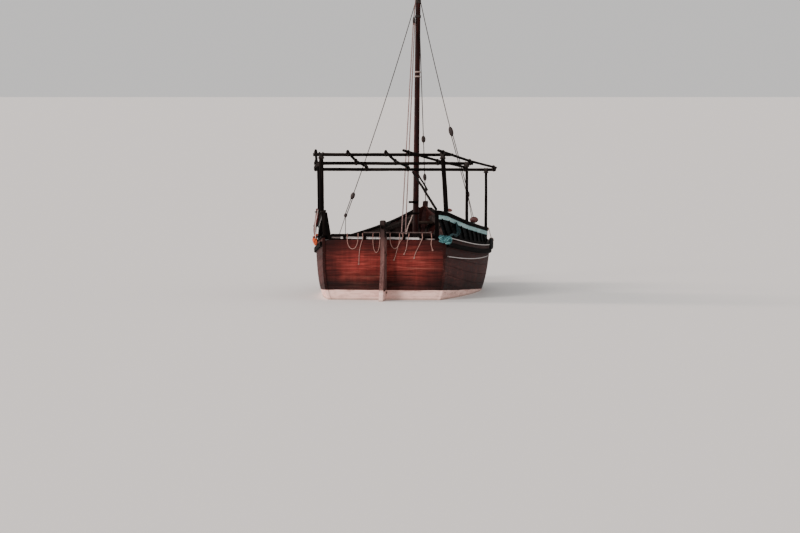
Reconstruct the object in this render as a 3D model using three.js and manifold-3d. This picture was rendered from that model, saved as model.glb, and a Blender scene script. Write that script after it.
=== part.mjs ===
// A small wooden dhow, a fishing and ferry boat with one mast and a bare pole frame for an awning.
// Millimetres. +Y runs to the bow, +X to starboard, +Z up. The origin is on the centreline, amidships,
// at the waterline. A place along the boat is written as l, its distance forward of the transom.
import * as THREE from "three";
import { mergeVertices } from "three/addons/utils/BufferGeometryUtils.js";
import Module from "manifold-3d";

const wasm = await Module();
wasm.setup();

// Driving dimensions
const MIDSHIP = 4400;            // the origin's distance forward of the transom
const GAP = 0.3;                 // seat gap between two pieces that touch
const PLANK = 45;                // hull planking
const KEEL_WIDTH = 110;          // keel, stem and sternpost
const RIB_DEPTH = 65;            // ribs, measured in from the planking
const RIB_WIDTH = 70;
const CLAMP_DEPTH = 105;         // inner stringer that the beams lie on
const CLAMP_TOP = 560;
const FLOOR_TOP = -250;
const POOP_DECK = 780;
const POOP_END = 2300;           // forward edge of the poop deck
const FOREDECK = 960;
const FOREDECK_START = 6950;
const FOREDECK_END = 8105;       // where the foredeck meets the stem
const DECK_BOARD = 35;
const TRANSOM_TOP = 1200;
const TRANSOM_BOARD = 60;
const KEEL_BOTTOM = -900;
const MAST_L = 6450;             // the mast's place at the floor
const MAST_RAKE = 0.1145;        // how far it leans forward for each millimetre up
const MAST_TOP = 6900;
const MAST_FOOT_RADIUS = 70;
const MAST_HEAD_RADIUS = 52;
const HOUNDS = 6300;             // where the shrouds meet the mast
const STEM_HEAD = [8930, 1745];  // l, z of the top of the stem
const RAIL_CAP = [95, 45];       // width and thickness of the poop rail's cap
const STRAKE = [22, 105];        // thickness and height of the painted strake under the cap
const POLE = 35;                 // radius of the canopy's round poles

const y = (l) => l - MIDSHIP;

// Hull stations. Each section is one Bezier curve from the rabbet at the keel to the sheer:
// [l, rabbet z, low control x, low control z, high control x, high control z, sheer x, sheer z]
const STATIONS = [
  [0, -400, 1190, -430, 1250, -60, 1240, 1240],
  [900, -470, 1390, -500, 1430, -70, 1420, 1150],
  [2000, -540, 1560, -570, 1570, -70, 1610, 1050],
  [3000, -580, 1660, -600, 1650, -50, 1730, 985],
  [4000, -600, 1700, -610, 1680, -30, 1785, 950],
  [5000, -590, 1600, -590, 1620, 10, 1740, 955],
  [5900, -560, 1310, -520, 1390, 70, 1560, 1005],
  [6600, -480, 880, -380, 1010, 180, 1280, 1085],
  [7200, -60, 520, 60, 640, 420, 960, 1190],
  [7800, 560, 300, 640, 360, 880, 600, 1330],
  [8300, 1060, 140, 1120, 190, 1230, 320, 1475],
  [8720, 1480, 44, 1500, 46, 1560, 50, 1640],
];
const CURVE_STEPS = 9;

const bezier = (t, a, b, c, d) =>
  (1 - t) ** 3 * a + 3 * (1 - t) ** 2 * t * b + 3 * (1 - t) * t ** 2 * c + t ** 3 * d;

// A station at any l, from the rows on each side of it
function station(l) {
  const last = STATIONS.length - 1;
  let i = 0;
  while (i < last - 1 && STATIONS[i + 1][0] < l) i += 1;
  const [a, b] = [STATIONS[i], STATIONS[i + 1]];
  const t = (l - a[0]) / (b[0] - a[0]);
  return a.map((value, k) => value + t * (b[k] - value));
}

// Half a section as [x, z] points from the rabbet up to the sheer, moved in by inset
function halfSection(row, inset) {
  const [, z0, x1, z1, x2, z2, x3, z3] = row;
  const curve = [];
  for (let i = 0; i <= CURVE_STEPS; i += 1) {
    const t = i / CURVE_STEPS;
    curve.push([bezier(t, 40, x1, x2, x3), bezier(t, z0, z1, z2, z3)]);
  }
  return curve.map(([px, pz], i) => {
    const [ax, az] = curve[Math.max(i - 1, 0)];
    const [bx, bz] = curve[Math.min(i + 1, CURVE_STEPS)];
    const length = Math.hypot(bx - ax, bz - az);
    const nx = (bz - az) / length;
    const nz = -(bx - ax) / length;
    return [Math.max(px - nx * inset, 4), pz - nz * inset];
  });
}

// The hull's side at a height, for one station
function sideAt(l, z, inset = 0) {
  const points = halfSection(station(l), inset);
  for (let i = 0; i < points.length - 1; i += 1) {
    const [[ax, az], [bx, bz]] = [points[i], points[i + 1]];
    if (z >= az && z <= bz) return ax + ((bx - ax) * (z - az)) / (bz - az);
  }
  return z > points[points.length - 1][1] ? points[points.length - 1][0] : points[0][0];
}

const sheerX = (l) => station(l)[6];
const sheerZ = (l) => station(l)[7];

// Geometry helpers

// A closed solid through equal rings of [x, z] points, one ring for each place along the boat
function loft(places, rings) {
  const count = rings[0].length;
  const vertices = [];
  rings.forEach((ring, i) => ring.forEach(([px, pz]) => vertices.push(px, y(places[i]), pz)));
  const faces = [];
  for (let i = 0; i < rings.length - 1; i += 1) {
    for (let k = 0; k < count; k += 1) {
      const a = i * count + k;
      const b = i * count + ((k + 1) % count);
      faces.push(a, b, b + count, a, b + count, a + count);
    }
  }
  const cap = (ring, start, flip) => {
    const outline = ring.map(([px, pz]) => new THREE.Vector2(px, pz));
    const around = THREE.ShapeUtils.isClockWise(outline);
    for (const [a, b, c] of THREE.ShapeUtils.triangulateShape(outline, [])) {
      if (flip !== around) faces.push(start + a, start + c, start + b);
      else faces.push(start + a, start + b, start + c);
    }
  };
  cap(rings[0], 0, true);
  cap(rings[rings.length - 1], (rings.length - 1) * count, false);
  return outward(vertices, faces);
}

// Turns the faces round where the solid's volume comes out negative
function outward(vertices, faces) {
  let volume = 0;
  const at = (i) => new THREE.Vector3().fromArray(vertices, i * 3);
  for (let i = 0; i < faces.length; i += 3) {
    volume += at(faces[i]).dot(at(faces[i + 1]).cross(at(faces[i + 2])));
  }
  const turned = volume < 0 ? faces.slice().reverse() : faces;
  const geometry = new THREE.BufferGeometry();
  geometry.setAttribute("position", new THREE.Float32BufferAttribute(vertices, 3));
  geometry.setIndex(turned);
  return geometry;
}

function solid(geometry) {
  const plain = geometry.clone();
  plain.deleteAttribute("normal");
  plain.deleteAttribute("uv");
  const merged = mergeVertices(plain, 1e-3);
  return new wasm.Manifold(new wasm.Mesh({
    numProp: 3,
    vertProperties: new Float32Array(merged.attributes.position.array),
    triVerts: new Uint32Array(merged.index.array),
  }));
}

function geometryOf(body) {
  const mesh = body.getMesh();
  const geometry = new THREE.BufferGeometry();
  geometry.setAttribute("position", new THREE.BufferAttribute(mesh.vertProperties, 3));
  geometry.setIndex(new THREE.BufferAttribute(mesh.triVerts, 1));
  return geometry;
}

// A box between two corners, as [x, l, z]
function block(low, high) {
  const size = high.map((value, i) => value - low[i]);
  const geometry = new THREE.BoxGeometry(...size);
  geometry.translate(low[0] + size[0] / 2, y(low[1] + size[1] / 2), low[2] + size[2] / 2);
  return solid(geometry);
}

// A round pole from one place to another, as [x, l, z], tapered from one radius to the other
function pole(from, to, radius, endRadius = radius, sides = 12) {
  const a = new THREE.Vector3(from[0], y(from[1]), from[2]);
  const b = new THREE.Vector3(to[0], y(to[1]), to[2]);
  const geometry = new THREE.CylinderGeometry(endRadius, radius, a.distanceTo(b), sides);
  geometry.translate(0, a.distanceTo(b) / 2, 0);
  const turn = new THREE.Quaternion();
  turn.setFromUnitVectors(new THREE.Vector3(0, 1, 0), b.clone().sub(a).normalize());
  geometry.applyQuaternion(turn);
  geometry.translate(a.x, a.y, a.z);
  return solid(geometry);
}

// A plate with a side-view outline of [l, z] points, as thick as width, on the centreline
function sidePlate(outline, width) {
  const shape = new THREE.Shape(outline.map(([l, z]) => new THREE.Vector2(y(l), z)));
  const geometry = new THREE.ExtrudeGeometry(shape, { depth: width, bevelEnabled: false, curveSegments: 6 });
  geometry.translate(0, 0, -width / 2);
  geometry.applyMatrix4(new THREE.Matrix4().makeBasis(
    new THREE.Vector3(0, 1, 0), new THREE.Vector3(0, 0, 1), new THREE.Vector3(1, 0, 0)));
  return solid(geometry);
}

// The whole hull's form, moved in by inset. With a raised top it is a cutter that leaves no lid.
function hullForm(inset, raise = 0) {
  const rings = STATIONS.map((row) => {
    const half = halfSection(row, inset);
    const top = half[half.length - 1];
    const side = raise ? [...half, [top[0], top[1] + raise]] : half;
    return [...side, ...side.slice().reverse().map(([px, pz]) => [-px, pz])];
  });
  return solid(loft(STATIONS.map((row) => row[0]), rings));
}

// A strip along one side of the boat. Each row gives [l, inner x, outer x, bottom z, top z].
function strip(rows, side) {
  const rings = rows.map(([, inner, outer, bottom, top]) => [
    [inner * side, bottom], [outer * side, bottom], [outer * side, top], [inner * side, top],
  ]);
  return solid(loft(rows.map((row) => row[0]), rings));
}

const FAR = 20000;
const sideHalf = (side) => (side > 0
  ? block([KEEL_WIDTH / 2 + GAP, -FAR / 2, -FAR / 2], [FAR, FAR, FAR])
  : block([-FAR, -FAR / 2, -FAR / 2], [-KEEL_WIDTH / 2 - GAP, FAR, FAR]));
const band = (from, to, low, high) => block([-FAR, from, low], [FAR, to, high]);

// Materials
const FINISH = {
  hull: [0x7a2a20, 0.55],
  bottom: [0xd8cfc4, 0.6],
  weathered: [0x1f1713, 0.8],
  mast: [0x6b2c20, 0.5],
  strake: [0x9fc4c9, 0.5],
  deck: [0x6a4a35, 0.8],
  rope: [0xb8a99a, 0.9],
  iron: [0x3a3532, 0.7],
  rubber: [0x222222, 0.9],
  cloth: [0x8e2b2b, 0.95],
  net: [0x3fa7a5, 0.95],
};
const boat = new THREE.Group();

function add(name, body, finish) {
  const [color, roughness] = FINISH[finish];
  const metalness = finish === "iron" ? 0.8 : 0;
  const surface = new THREE.MeshStandardMaterial({ color, roughness, metalness });
  const mesh = new THREE.Mesh(geometryOf(body), surface);
  mesh.name = name;
  boat.add(mesh);
}

const SIDES = [["port", -1], ["starboard", 1]];

// Backbone: keel, raked stem and upright sternpost, each a plank on edge
const POST_FACE = -100;                    // aft face of the sternpost
const KEEL_FRONT = 6450;
const STERNPOST_TOP = 1290;
add("keel", sidePlate([
  [POST_FACE + 120 + GAP, KEEL_BOTTOM], [KEEL_FRONT, KEEL_BOTTOM], [KEEL_FRONT, -490],
  [4000, -545], [2000, -490], [900, -420], [POST_FACE + 120 + GAP, -350],
], KEEL_WIDTH), "bottom");
add("sternpost", sidePlate([
  [POST_FACE, KEEL_BOTTOM - 20], [POST_FACE + 120, KEEL_BOTTOM - 20],
  [POST_FACE + 120, STERNPOST_TOP], [POST_FACE, STERNPOST_TOP],
], KEEL_WIDTH), "hull");
add("stem", sidePlate([
  [KEEL_FRONT + GAP, KEEL_BOTTOM], [6560, KEEL_BOTTOM], [6800, -660], [8810, 1380],
  [STEM_HEAD[0] + 70, STEM_HEAD[1]], [STEM_HEAD[0] - 90, STEM_HEAD[1]], [8600, 1480], [7240, 40],
  [6800, -400], [6600, -460], [KEEL_FRONT + GAP, -488],
], KEEL_WIDTH), "hull");

// Hull planking, one shell a side
const outer = hullForm(0);
const inner = hullForm(PLANK, 300);
const lining = hullForm(PLANK + GAP, 300);
const shell = outer.subtract(inner);
for (const [name, side] of SIDES) {
  add(`hull_planking_${name}`, shell.intersect(sideHalf(side)), "hull");
}

// Transom, let in between the ends of the planks and behind the sternpost
add("transom", lining.intersect(
  band(POST_FACE + 120 + GAP, POST_FACE + 120 + TRANSOM_BOARD, -345, TRANSOM_TOP)), "hull");

// Wale, a heavy rubbing strake just below the sheer: [l, bottom z, top z]
const WALE = [[60, 1070, 1165], [900, 985, 1080], [2000, 885, 980], [3000, 820, 915], [4000, 785, 880],
  [5000, 790, 885], [5900, 840, 935], [6600, 915, 1010], [7200, 1015, 1105], [7800, 1150, 1230],
  [8300, 1300, 1360]];
const WALE_DEPTH = 45;
const shellCutter = hullForm(-GAP, 300);
for (const [name, side] of SIDES) {
  const rows = WALE.map(([l, bottom, top]) => {
    const x = sideAt(l, (bottom + top) / 2);
    return [l, x - 30, x + WALE_DEPTH, bottom, top];
  });
  add(`wale_${name}`, strip(rows, side).subtract(shellCutter), "weathered");
}

// Gunwale, the board that covers the plank ends along the sheer
const GUNWALE = [70, 38];                  // how far it reaches in from the side, and its thickness
const GUNWALE_STOPS = [60, 900, 2000, 3000, 4000, 5000, 5900, 6600, 7200, 7800, 8300, 8560];
for (const [name, side] of SIDES) {
  const rows = GUNWALE_STOPS.map((l) => {
    const base = sheerZ(l) + GAP;
    return [l, sheerX(l) - GUNWALE[0], sheerX(l) + 22, base, base + GUNWALE[1]];
  });
  add(`gunwale_${name}`, strip(rows, side), "weathered");
}

// Ribs of the hold and of the open bow. The clamp that the beams lie on joins them, and so does a second
// stringer just under the gunwale, which runs on above the foredeck.
const ribZone = lining.subtract(hullForm(PLANK + RIB_DEPTH, 300));
const clampZone = lining.subtract(hullForm(PLANK + CLAMP_DEPTH, 300));
const HOLD = [POOP_END + 60, FOREDECK_START - 60];
const RIB_SPACING = 450;
const SHEER_CLAMP = [24, 90];              // its top and foot below the sheer
const BOW_RIBS = [7180, 7520, 7860, 8200];
const underSheer = (side, from, to, high, low) => strip(
  [from, ...STATIONS.map((row) => row[0]).filter((l) => l > from && l < to), to]
    .map((l) => [l, 0, FAR, sheerZ(l) - low, sheerZ(l) - high]), side);
for (const [name, side] of SIDES) {
  let ribs = clampZone.intersect(band(HOLD[0], HOLD[1], CLAMP_TOP - 110, CLAMP_TOP));
  for (let l = HOLD[0] + 180; l < HOLD[1] - RIB_WIDTH; l += RIB_SPACING) {
    ribs = ribs.add(ribZone.intersect(band(l, l + RIB_WIDTH, -FAR / 2, FAR / 2)));
  }
  for (const l of BOW_RIBS) {
    ribs = ribs.add(ribZone.intersect(band(l, l + RIB_WIDTH * 0.8, FOREDECK + DECK_BOARD + GAP, FAR / 2)));
  }
  const clampEnd = BOW_RIBS[BOW_RIBS.length - 1] + 70;
  const high = clampZone.intersect(underSheer(side, HOLD[0], clampEnd, ...SHEER_CLAMP));
  const below = underSheer(side, HOLD[0] - 50, 8690, GAP, 3000);
  const framing = ribs.intersect(below).add(high);
  add(`ribs_${name}`, framing.intersect(sideHalf(side)), "deck");
}

const bay = hullForm(PLANK + RIB_DEPTH + 2 * GAP, 300);
add("hold_floor", bay.intersect(band(HOLD[0], HOLD[1], FLOOR_TOP - 30, FLOOR_TOP)), "deck");

// Poop deck and foredeck with the bulkheads that close their ends
add("poop_deck", lining.intersect(
  band(POST_FACE + 120 + TRANSOM_BOARD + GAP, POOP_END, POOP_DECK - DECK_BOARD, POOP_DECK)), "deck");
add("poop_bulkhead", lining.intersect(
  band(POOP_END - 40, POOP_END, -480, POOP_DECK - DECK_BOARD - GAP)), "deck");
add("foredeck", lining.intersect(
  band(FOREDECK_START, FOREDECK_END, FOREDECK, FOREDECK + DECK_BOARD)), "deck");
add("forepeak_bulkhead", lining.intersect(
  band(FOREDECK_START, FOREDECK_START + 40, -180, FOREDECK - GAP)), "deck");

// The raked mast's form, grown all over by a gap where it is used as a cutter
const mastAt = (z) => MAST_L + MAST_RAKE * (z - FLOOR_TOP);
const mastRadiusAt = (z) => MAST_FOOT_RADIUS
  + ((MAST_HEAD_RADIUS - MAST_FOOT_RADIUS) * (z - FLOOR_TOP)) / (MAST_TOP - FLOOR_TOP);
const MAST_SINK = FLOOR_TOP + 12;          // the mast's heel, in the step just above the floor
const mastForm = (grown, from, to) => pole([0, mastAt(from), from], [0, mastAt(to), to],
  mastRadiusAt(from) + grown, mastRadiusAt(to) + grown, 20);

// Beams across the hold: [name, l, width along the boat]
const BEAM_DEPTH = 70;
const BEAMS = [["beam_aft", 3450, 200], ["beam_middle", 4750, 200], ["mast_beam", mastAt(CLAMP_TOP), 320]];
for (const [name, l, width] of BEAMS) {
  const beam = bay.intersect(
    band(l - width / 2, l + width / 2, CLAMP_TOP + GAP, CLAMP_TOP + GAP + BEAM_DEPTH));
  add(name, beam.subtract(mastForm(0.5, MAST_SINK - 30, MAST_TOP)), "deck");
}

// Mast step on the floor, and the mast
const STEP = [170, 130];                   // half width and height
add("mast_step", block([-STEP[0], MAST_L - STEP[0], FLOOR_TOP + GAP],
  [STEP[0], MAST_L + STEP[0], FLOOR_TOP + STEP[1]])
  .subtract(mastForm(0.5, MAST_SINK - GAP, MAST_TOP)), "deck");
add("mast", mastForm(0, MAST_SINK, MAST_TOP), "mast");

// A beam across the bow, for the anchor rope
const BOW_BEAM = [8040, 8130, 1262, 1322];   // from and to along the boat, foot and top
add("bow_beam", lining.intersect(band(...BOW_BEAM)).subtract(clampZone.add(ribZone)), "deck");

// Poop rails. Each row: [l, starboard x, port x, cap top z]
const RAIL = [[20, 1060, 1215, 1800], [550, 1200, 1320, 1752], [1950, 1500, 1540, 1520],
  [3000, 1650, 1660, 1405], [4050, 1750, 1750, 1315]];

// The rail's line at any place: its x and the z of the cap's top
function railAt(l, side) {
  let i = 0;
  while (i < RAIL.length - 2 && RAIL[i + 1][0] < l) i += 1;
  const t = (l - RAIL[i][0]) / (RAIL[i + 1][0] - RAIL[i][0]);
  const mix = (k) => RAIL[i][k] + t * (RAIL[i + 1][k] - RAIL[i][k]);
  return [mix(side > 0 ? 1 : 2), mix(3)];
}

// A strip that follows the rail's line, half as wide as reach, between two depths below the cap's top
function alongRail(side, start, reach, high, low) {
  const stops = [start, ...RAIL.slice(1).map((row) => row[0])];
  return strip(stops.map((l) => {
    const [x, z] = railAt(l, side);
    return [l, x - reach, x + reach, z - low, z - high];
  }), side);
}
const STRAKE_TOP = RAIL_CAP[1] + GAP;
const STRAKE_FOOT = STRAKE_TOP + STRAKE[1];
const CLEAR = 150;                         // how far a cutter reaches past what it cuts
for (const [name, side] of SIDES) {
  add(`rail_cap_${name}`, alongRail(side, RAIL[0][0], RAIL_CAP[0] / 2, 0, RAIL_CAP[1]), "weathered");
  add(`painted_strake_${name}`, alongRail(side, 90, STRAKE[0] / 2, STRAKE_TOP, STRAKE_FOOT), "strake");
}

// Slats between the gunwale and the painted strake, joined by a sill that lies on the gunwale
const SLAT = [22, 60];                     // thickness across and width along the boat
const SLAT_STOPS = [300, 720, 1140, 1560, 1980, 2400, 2820, 3240, 3660, 4000];
const SILL_STOPS = [110, 900, 2000, 3000, 4000, 4030];
const gunwaleTop = (l) => sheerZ(l) + GAP + GUNWALE[1];
const footX = (l) => sheerX(l) - 40;
for (const [name, side] of SIDES) {
  let slats = strip(SILL_STOPS.map((l) => [l, footX(l) - 14, footX(l) + 14,
    gunwaleTop(l) + GAP, gunwaleTop(l) + 40]), side);
  for (const l of SLAT_STOPS) {
    const [x, z] = railAt(l, side);
    const [foot, head] = [gunwaleTop(l) + 20, z - STRAKE_FOOT + 20];
    const ring = [[footX(l) - SLAT[0] / 2, foot], [footX(l) + SLAT[0] / 2, foot],
      [x + SLAT[0] / 2, head], [x - SLAT[0] / 2, head]].map(([px, pz]) => [px * side, pz]);
    slats = slats.add(solid(loft([l - SLAT[1] / 2, l + SLAT[1] / 2], [ring, ring])));
  }
  const above = alongRail(side, 0, CLEAR, -CLEAR, STRAKE_FOOT + GAP);
  add(`rail_slats_${name}`, slats.subtract(above), "weathered");
}

// Rail across the transom, one comb of uprights under a bar
const BAR = [1265, 1320];                  // bottom and top z
const BAR_ENDS = [-1073, 1023];
const BAR_L = [30, 75];
const UPRIGHTS = [-800, -400, 0, 400, 800];
let comb = block([BAR_ENDS[0], BAR_L[0], BAR[0]], [BAR_ENDS[1], BAR_L[1], BAR[1]]);
for (const x of UPRIGHTS) {
  comb = comb.add(block([x - 28, BAR_L[0], TRANSOM_TOP + GAP], [x + 28, BAR_L[1], BAR[0] + 10]));
}
add("transom_rail", comb, "weathered");

// Corner posts that end the rails, on the transom. The port one widens into a board that closes the rail's end:
// [name, foot x, head x, extra width outboard above the gunwale]
const CORNER = 74;
const QUARTER = sheerZ(0) + GAP + GUNWALE[1] + 2;   // height above which the board can reach over the gunwale
for (const [name, foot, head, wider] of [["port", -1100, -1196, 90], ["starboard", 1062, 1056, 0]]) {
  const top = RAIL[0][3] - RAIL_CAP[1] / 2;
  const side = Math.sign(foot);
  const out = (side * CORNER) / 2;
  const rise = (QUARTER - TRANSOM_TOP) / (top - TRANSOM_TOP);
  const mid = foot + (head - foot) * rise;
  const ring = [[foot + out, TRANSOM_TOP + GAP], [foot - out, TRANSOM_TOP + GAP], [mid - out, QUARTER],
    [head - out, top], [head + out + (side * wider) / 3, top], [mid + out + side * wider, QUARTER + 1],
    [mid + out, QUARTER]];
  add(`corner_post_${name}`, solid(loft([24, 24 + 62], [ring, ring]))
    .subtract(alongRail(side, 0, CLEAR, -CLEAR, RAIL_CAP[1] + GAP)), "weathered");
}

// Canopy frame: [name, l, port x, starboard x at the beam, beam z, port end, starboard end]
const CANOPY = [
  ["aft", 550, -1330, 1130, 2900, -1495, 1340],
  ["middle", 1950, -1560, 1500, 2700, -1645, 1630],
  ["fore", 3900, -1740, 1740, 2537, -1880, 1950],
];
const canopyBeam = ([, l, , , z, portEnd, starboardEnd], grown) =>
  pole([portEnd, l, z], [starboardEnd, l, z], POLE + grown, POLE - 4 + grown, 10);
const POST_RADIUS = { aft: 50, middle: 33, fore: 32 };
for (const [name, l, portX, starboardX, z, portEnd, starboardEnd] of CANOPY) {
  for (const [sideName, side] of SIDES) {
    const [footAt, capTop] = railAt(l, side);
    const headX = side > 0 ? starboardX : portX;
    const post = pole([footAt * side, l, capTop - CLEAR / 2], [headX, l, z], POST_RADIUS[name],
      POST_RADIUS[name] - 4, 10);
    add(`canopy_post_${name}_${sideName}`, post.subtract(alongRail(side, 0, CLEAR, -GAP, CLEAR))
      .subtract(canopyBeam([name, l, 0, 0, z, portEnd, starboardEnd], GAP))
      .subtract(block([-FAR, l - CLEAR, z], [FAR, l + CLEAR, z + CLEAR])), "weathered");
  }
}
let beamSeats = null;
for (const row of CANOPY) {
  add(`canopy_beam_${row[0]}`, canopyBeam(row, 0), "weathered");
  const seat = canopyBeam(row, GAP);
  beamSeats = beamSeats ? beamSeats.add(seat) : seat;
}

// Long poles laid on the beams, notched to sit on them and bent down over the middle one:
// [name, x at the aft beam, x at the middle beam, x at the fore beam, aft end l, fore end l]
const LONG_POLE = 28;
const NOTCH = 8;
const POLES = [
  ["port_side", -1440, -1600, -1850, 330, 4080],
  ["port_inner", -790, -780, -775, 380, 4060],
  ["centre", -20, 30, 95, 360, 4060],
  ["starboard_inner", 440, 900, 1290, 300, 4040],
  ["starboard_side", 1140, 1560, 1900, 290, 4080],
];
for (const [name, xAft, xMiddle, xFore, from, to] of POLES) {
  const rest = (row) => row[4] + POLE + LONG_POLE - NOTCH;
  const [a, m, f] = CANOPY;
  const slopeAft = (rest(m) - rest(a)) / (m[1] - a[1]);
  const slopeFore = (rest(f) - rest(m)) / (f[1] - m[1]);
  const stops = [
    [from, xAft + ((xMiddle - xAft) * (from - a[1])) / (m[1] - a[1]), rest(a) + slopeAft * (from - a[1])],
    [m[1], xMiddle, rest(m)],
    [to, xFore + ((xFore - xMiddle) * (to - f[1])) / (f[1] - m[1]), rest(f) + slopeFore * (to - f[1])],
  ];
  const rings = stops.map(([, x, z]) => Array.from({ length: 8 }, (_, i) => {
    const angle = (i * Math.PI) / 4;
    return [x + LONG_POLE * Math.cos(angle), z + LONG_POLE * Math.sin(angle)];
  }));
  const log = solid(loft(stops.map((stop) => stop[0]), rings));
  add(`canopy_pole_${name}`, log.subtract(beamSeats), "weathered");
}

// Rudder with its stock and head, hung on three pintles. The axis is upright.
const RUDDER = 80;                         // thickness
const AXIS_L = POST_FACE - 8 - RUDDER / 2;
const HEAD_TOP = 1600;
const PINTLES = [-560, 150, 900];
const GUDGEON = [36, 50];                  // ring radius and height
let rudder = sidePlate([
  [AXIS_L, -890], [AXIS_L - 640, -860], [AXIS_L - 690, -700], [AXIS_L - 520, 0], [AXIS_L - 330, 420],
  [AXIS_L - 170, 800], [AXIS_L - 150, HEAD_TOP], [AXIS_L, HEAD_TOP],
], RUDDER);
rudder = rudder.add(pole([0, AXIS_L, -890], [0, AXIS_L, HEAD_TOP], RUDDER / 2, RUDDER / 2, 24));
for (const z of PINTLES) {
  const upright = (low, high, radius, sides) => pole([0, AXIS_L, z + low], [0, AXIS_L, z + high],
    radius, radius, sides);
  const reach = GUDGEON[1] / 2;
  rudder = rudder.subtract(upright(-reach - 6, reach + 6, GUDGEON[0] + 7, 24));
  rudder = rudder.add(upright(-60, 60, 13, 12));
  rudder = rudder.add(upright(reach + GAP, reach + 20, 24, 12));
}
const TILLER_Z = 1470;
const TILLER = [27, 33];                   // half width and half height where it goes through the head
rudder = rudder.subtract(block([-TILLER[0] - GAP, AXIS_L - 400, TILLER_Z - TILLER[1] - GAP],
  [TILLER[0] + GAP, AXIS_L + 400, TILLER_Z + TILLER[1] + GAP]));
add("rudder", rudder, "hull");
const TILLER_ENDS = [AXIS_L - 210, 1180];
const tillerRing = (scale, z) => [[-1, -1], [1, -1], [1, 1], [-1, 1]]
  .map(([across, up]) => [across * TILLER[0] * scale, z + up * TILLER[1] * scale]);
add("tiller", solid(loft([TILLER_ENDS[0], AXIS_L + 60, TILLER_ENDS[1]],
  [tillerRing(1, TILLER_Z), tillerRing(1, TILLER_Z), tillerRing(0.7, TILLER_Z + 40)])), "weathered");
PINTLES.forEach((z, i) => {
  const [low, high] = [z - GUDGEON[1] / 2, z + GUDGEON[1] / 2];
  const ring = pole([0, AXIS_L, low], [0, AXIS_L, high], GUDGEON[0], GUDGEON[0], 20);
  const arm = block([-22, AXIS_L, low], [22, POST_FACE - GAP, high]);
  const bore = pole([0, AXIS_L, z - 100], [0, AXIS_L, z + 100], 16, 16, 12);
  add(`gudgeon_${i + 1}`, ring.add(arm).subtract(bore), "iron");
});

// Standing rigging. The shrouds end in chainplates on the hull's side.
const STAY = 9;
const mastSeat = mastForm(GAP, MAST_SINK, MAST_TOP);
const CHAIN = { port: [5750, 15], starboard: [6250, 55] };   // place, and distance in from the sheer
const stay = (foot, head, cutter) => pole(foot, head, STAY, STAY, 8).subtract(mastSeat).subtract(cutter);
for (const [name, side] of SIDES) {
  const [chainL, inset] = CHAIN[name];
  const top = gunwaleTop(chainL) + GAP;
  const board = strip([chainL - 100, chainL + 100]
    .map((l) => [l, 1000, 2000, 500, gunwaleTop(l) + GAP]), side);
  add(`shroud_${name}`, stay([side * (sheerX(chainL) - inset), chainL, top - 20],
    [0, mastAt(HOUNDS), HOUNDS], board), "rope");
}
const stemTop = block([-CLEAR, 8500, 1000], [CLEAR, 9200, STEM_HEAD[1] + GAP]);
const FORESTAY_TOP = HOUNDS + 90;
const HALYARD_TOP = HOUNDS - 120;
add("forestay", stay([0, STEM_HEAD[0], STEM_HEAD[1] - 20], [0, mastAt(FORESTAY_TOP), FORESTAY_TOP],
  stemTop), "rope");
const beamTop = block([-CLEAR, 3000, 0], [CLEAR, 3900, CLAMP_TOP + BEAM_DEPTH + 2 * GAP]);
add("halyard", stay([0, 3440, CLAMP_TOP + BEAM_DEPTH - 20], [0, mastAt(HALYARD_TOP), HALYARD_TOP],
  beamTop), "rope");

// Spare pole stowed under the canopy, from the fore beam down to the starboard rail's aft end
add("stowed_pole", pole([1040, 60, RAIL[0][3] + 18], [206, 3850, CANOPY[2][4] - POLE - 18], 26, 26, 10)
  .subtract(alongRail(1, 0, CLEAR, -GAP, CLEAR)).subtract(beamSeats), "weathered");

// Tyre hung outside the starboard rail as a fender
const FENDER = [120, 42];
const tyre = new THREE.TorusGeometry(FENDER[0] - FENDER[1], FENDER[1], 8, 20);
tyre.rotateY(Math.PI / 2);
tyre.translate(sheerX(3950) + 22 + FENDER[1] + 2, y(3950), 985);
add("fender_tyre", solid(tyre), "rubber");

// Soft things made fast at the quarters: a furled cloth down the port rail, a net over the transom's corner
const cloth = new THREE.CapsuleGeometry(56, 660, 4, 10);
cloth.rotateX(Math.PI / 2);
cloth.rotateY(0.09);
cloth.translate(-1443, y(640), 1440);
const gunwaleSeat = strip(GUNWALE_STOPS.map((l) => [l, 0, sheerX(l) + 22 + GAP, sheerZ(l) - CLEAR,
  gunwaleTop(l) + GAP]), -1);
add("furled_cloth", solid(cloth).subtract(alongRail(-1, 0, RAIL_CAP[0] / 2 + GAP, -GAP, RAIL_CAP[1] + GAP))
  .subtract(gunwaleSeat), "cloth");
const bundle = new THREE.SphereGeometry(1, 14, 8);
bundle.scale(150, 60, 110);
bundle.translate(1235, y(-60 - GAP), 1215);
add("net_bundle", solid(bundle), "net");

export default boat;
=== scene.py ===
# %% [markdown]
# # A small wooden dhow
# This boat has a planked hull, a flat transom, dark poop rails, a bare pole frame for an awning and one
# mast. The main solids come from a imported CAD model. This lesson dresses them: planks with seams, crooked
# poles, laid ropes, blocks, lashings and weathered finishes.

# %% Load the frame
import math
import random

import bmesh
import bpy
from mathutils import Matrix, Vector, noise


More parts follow.
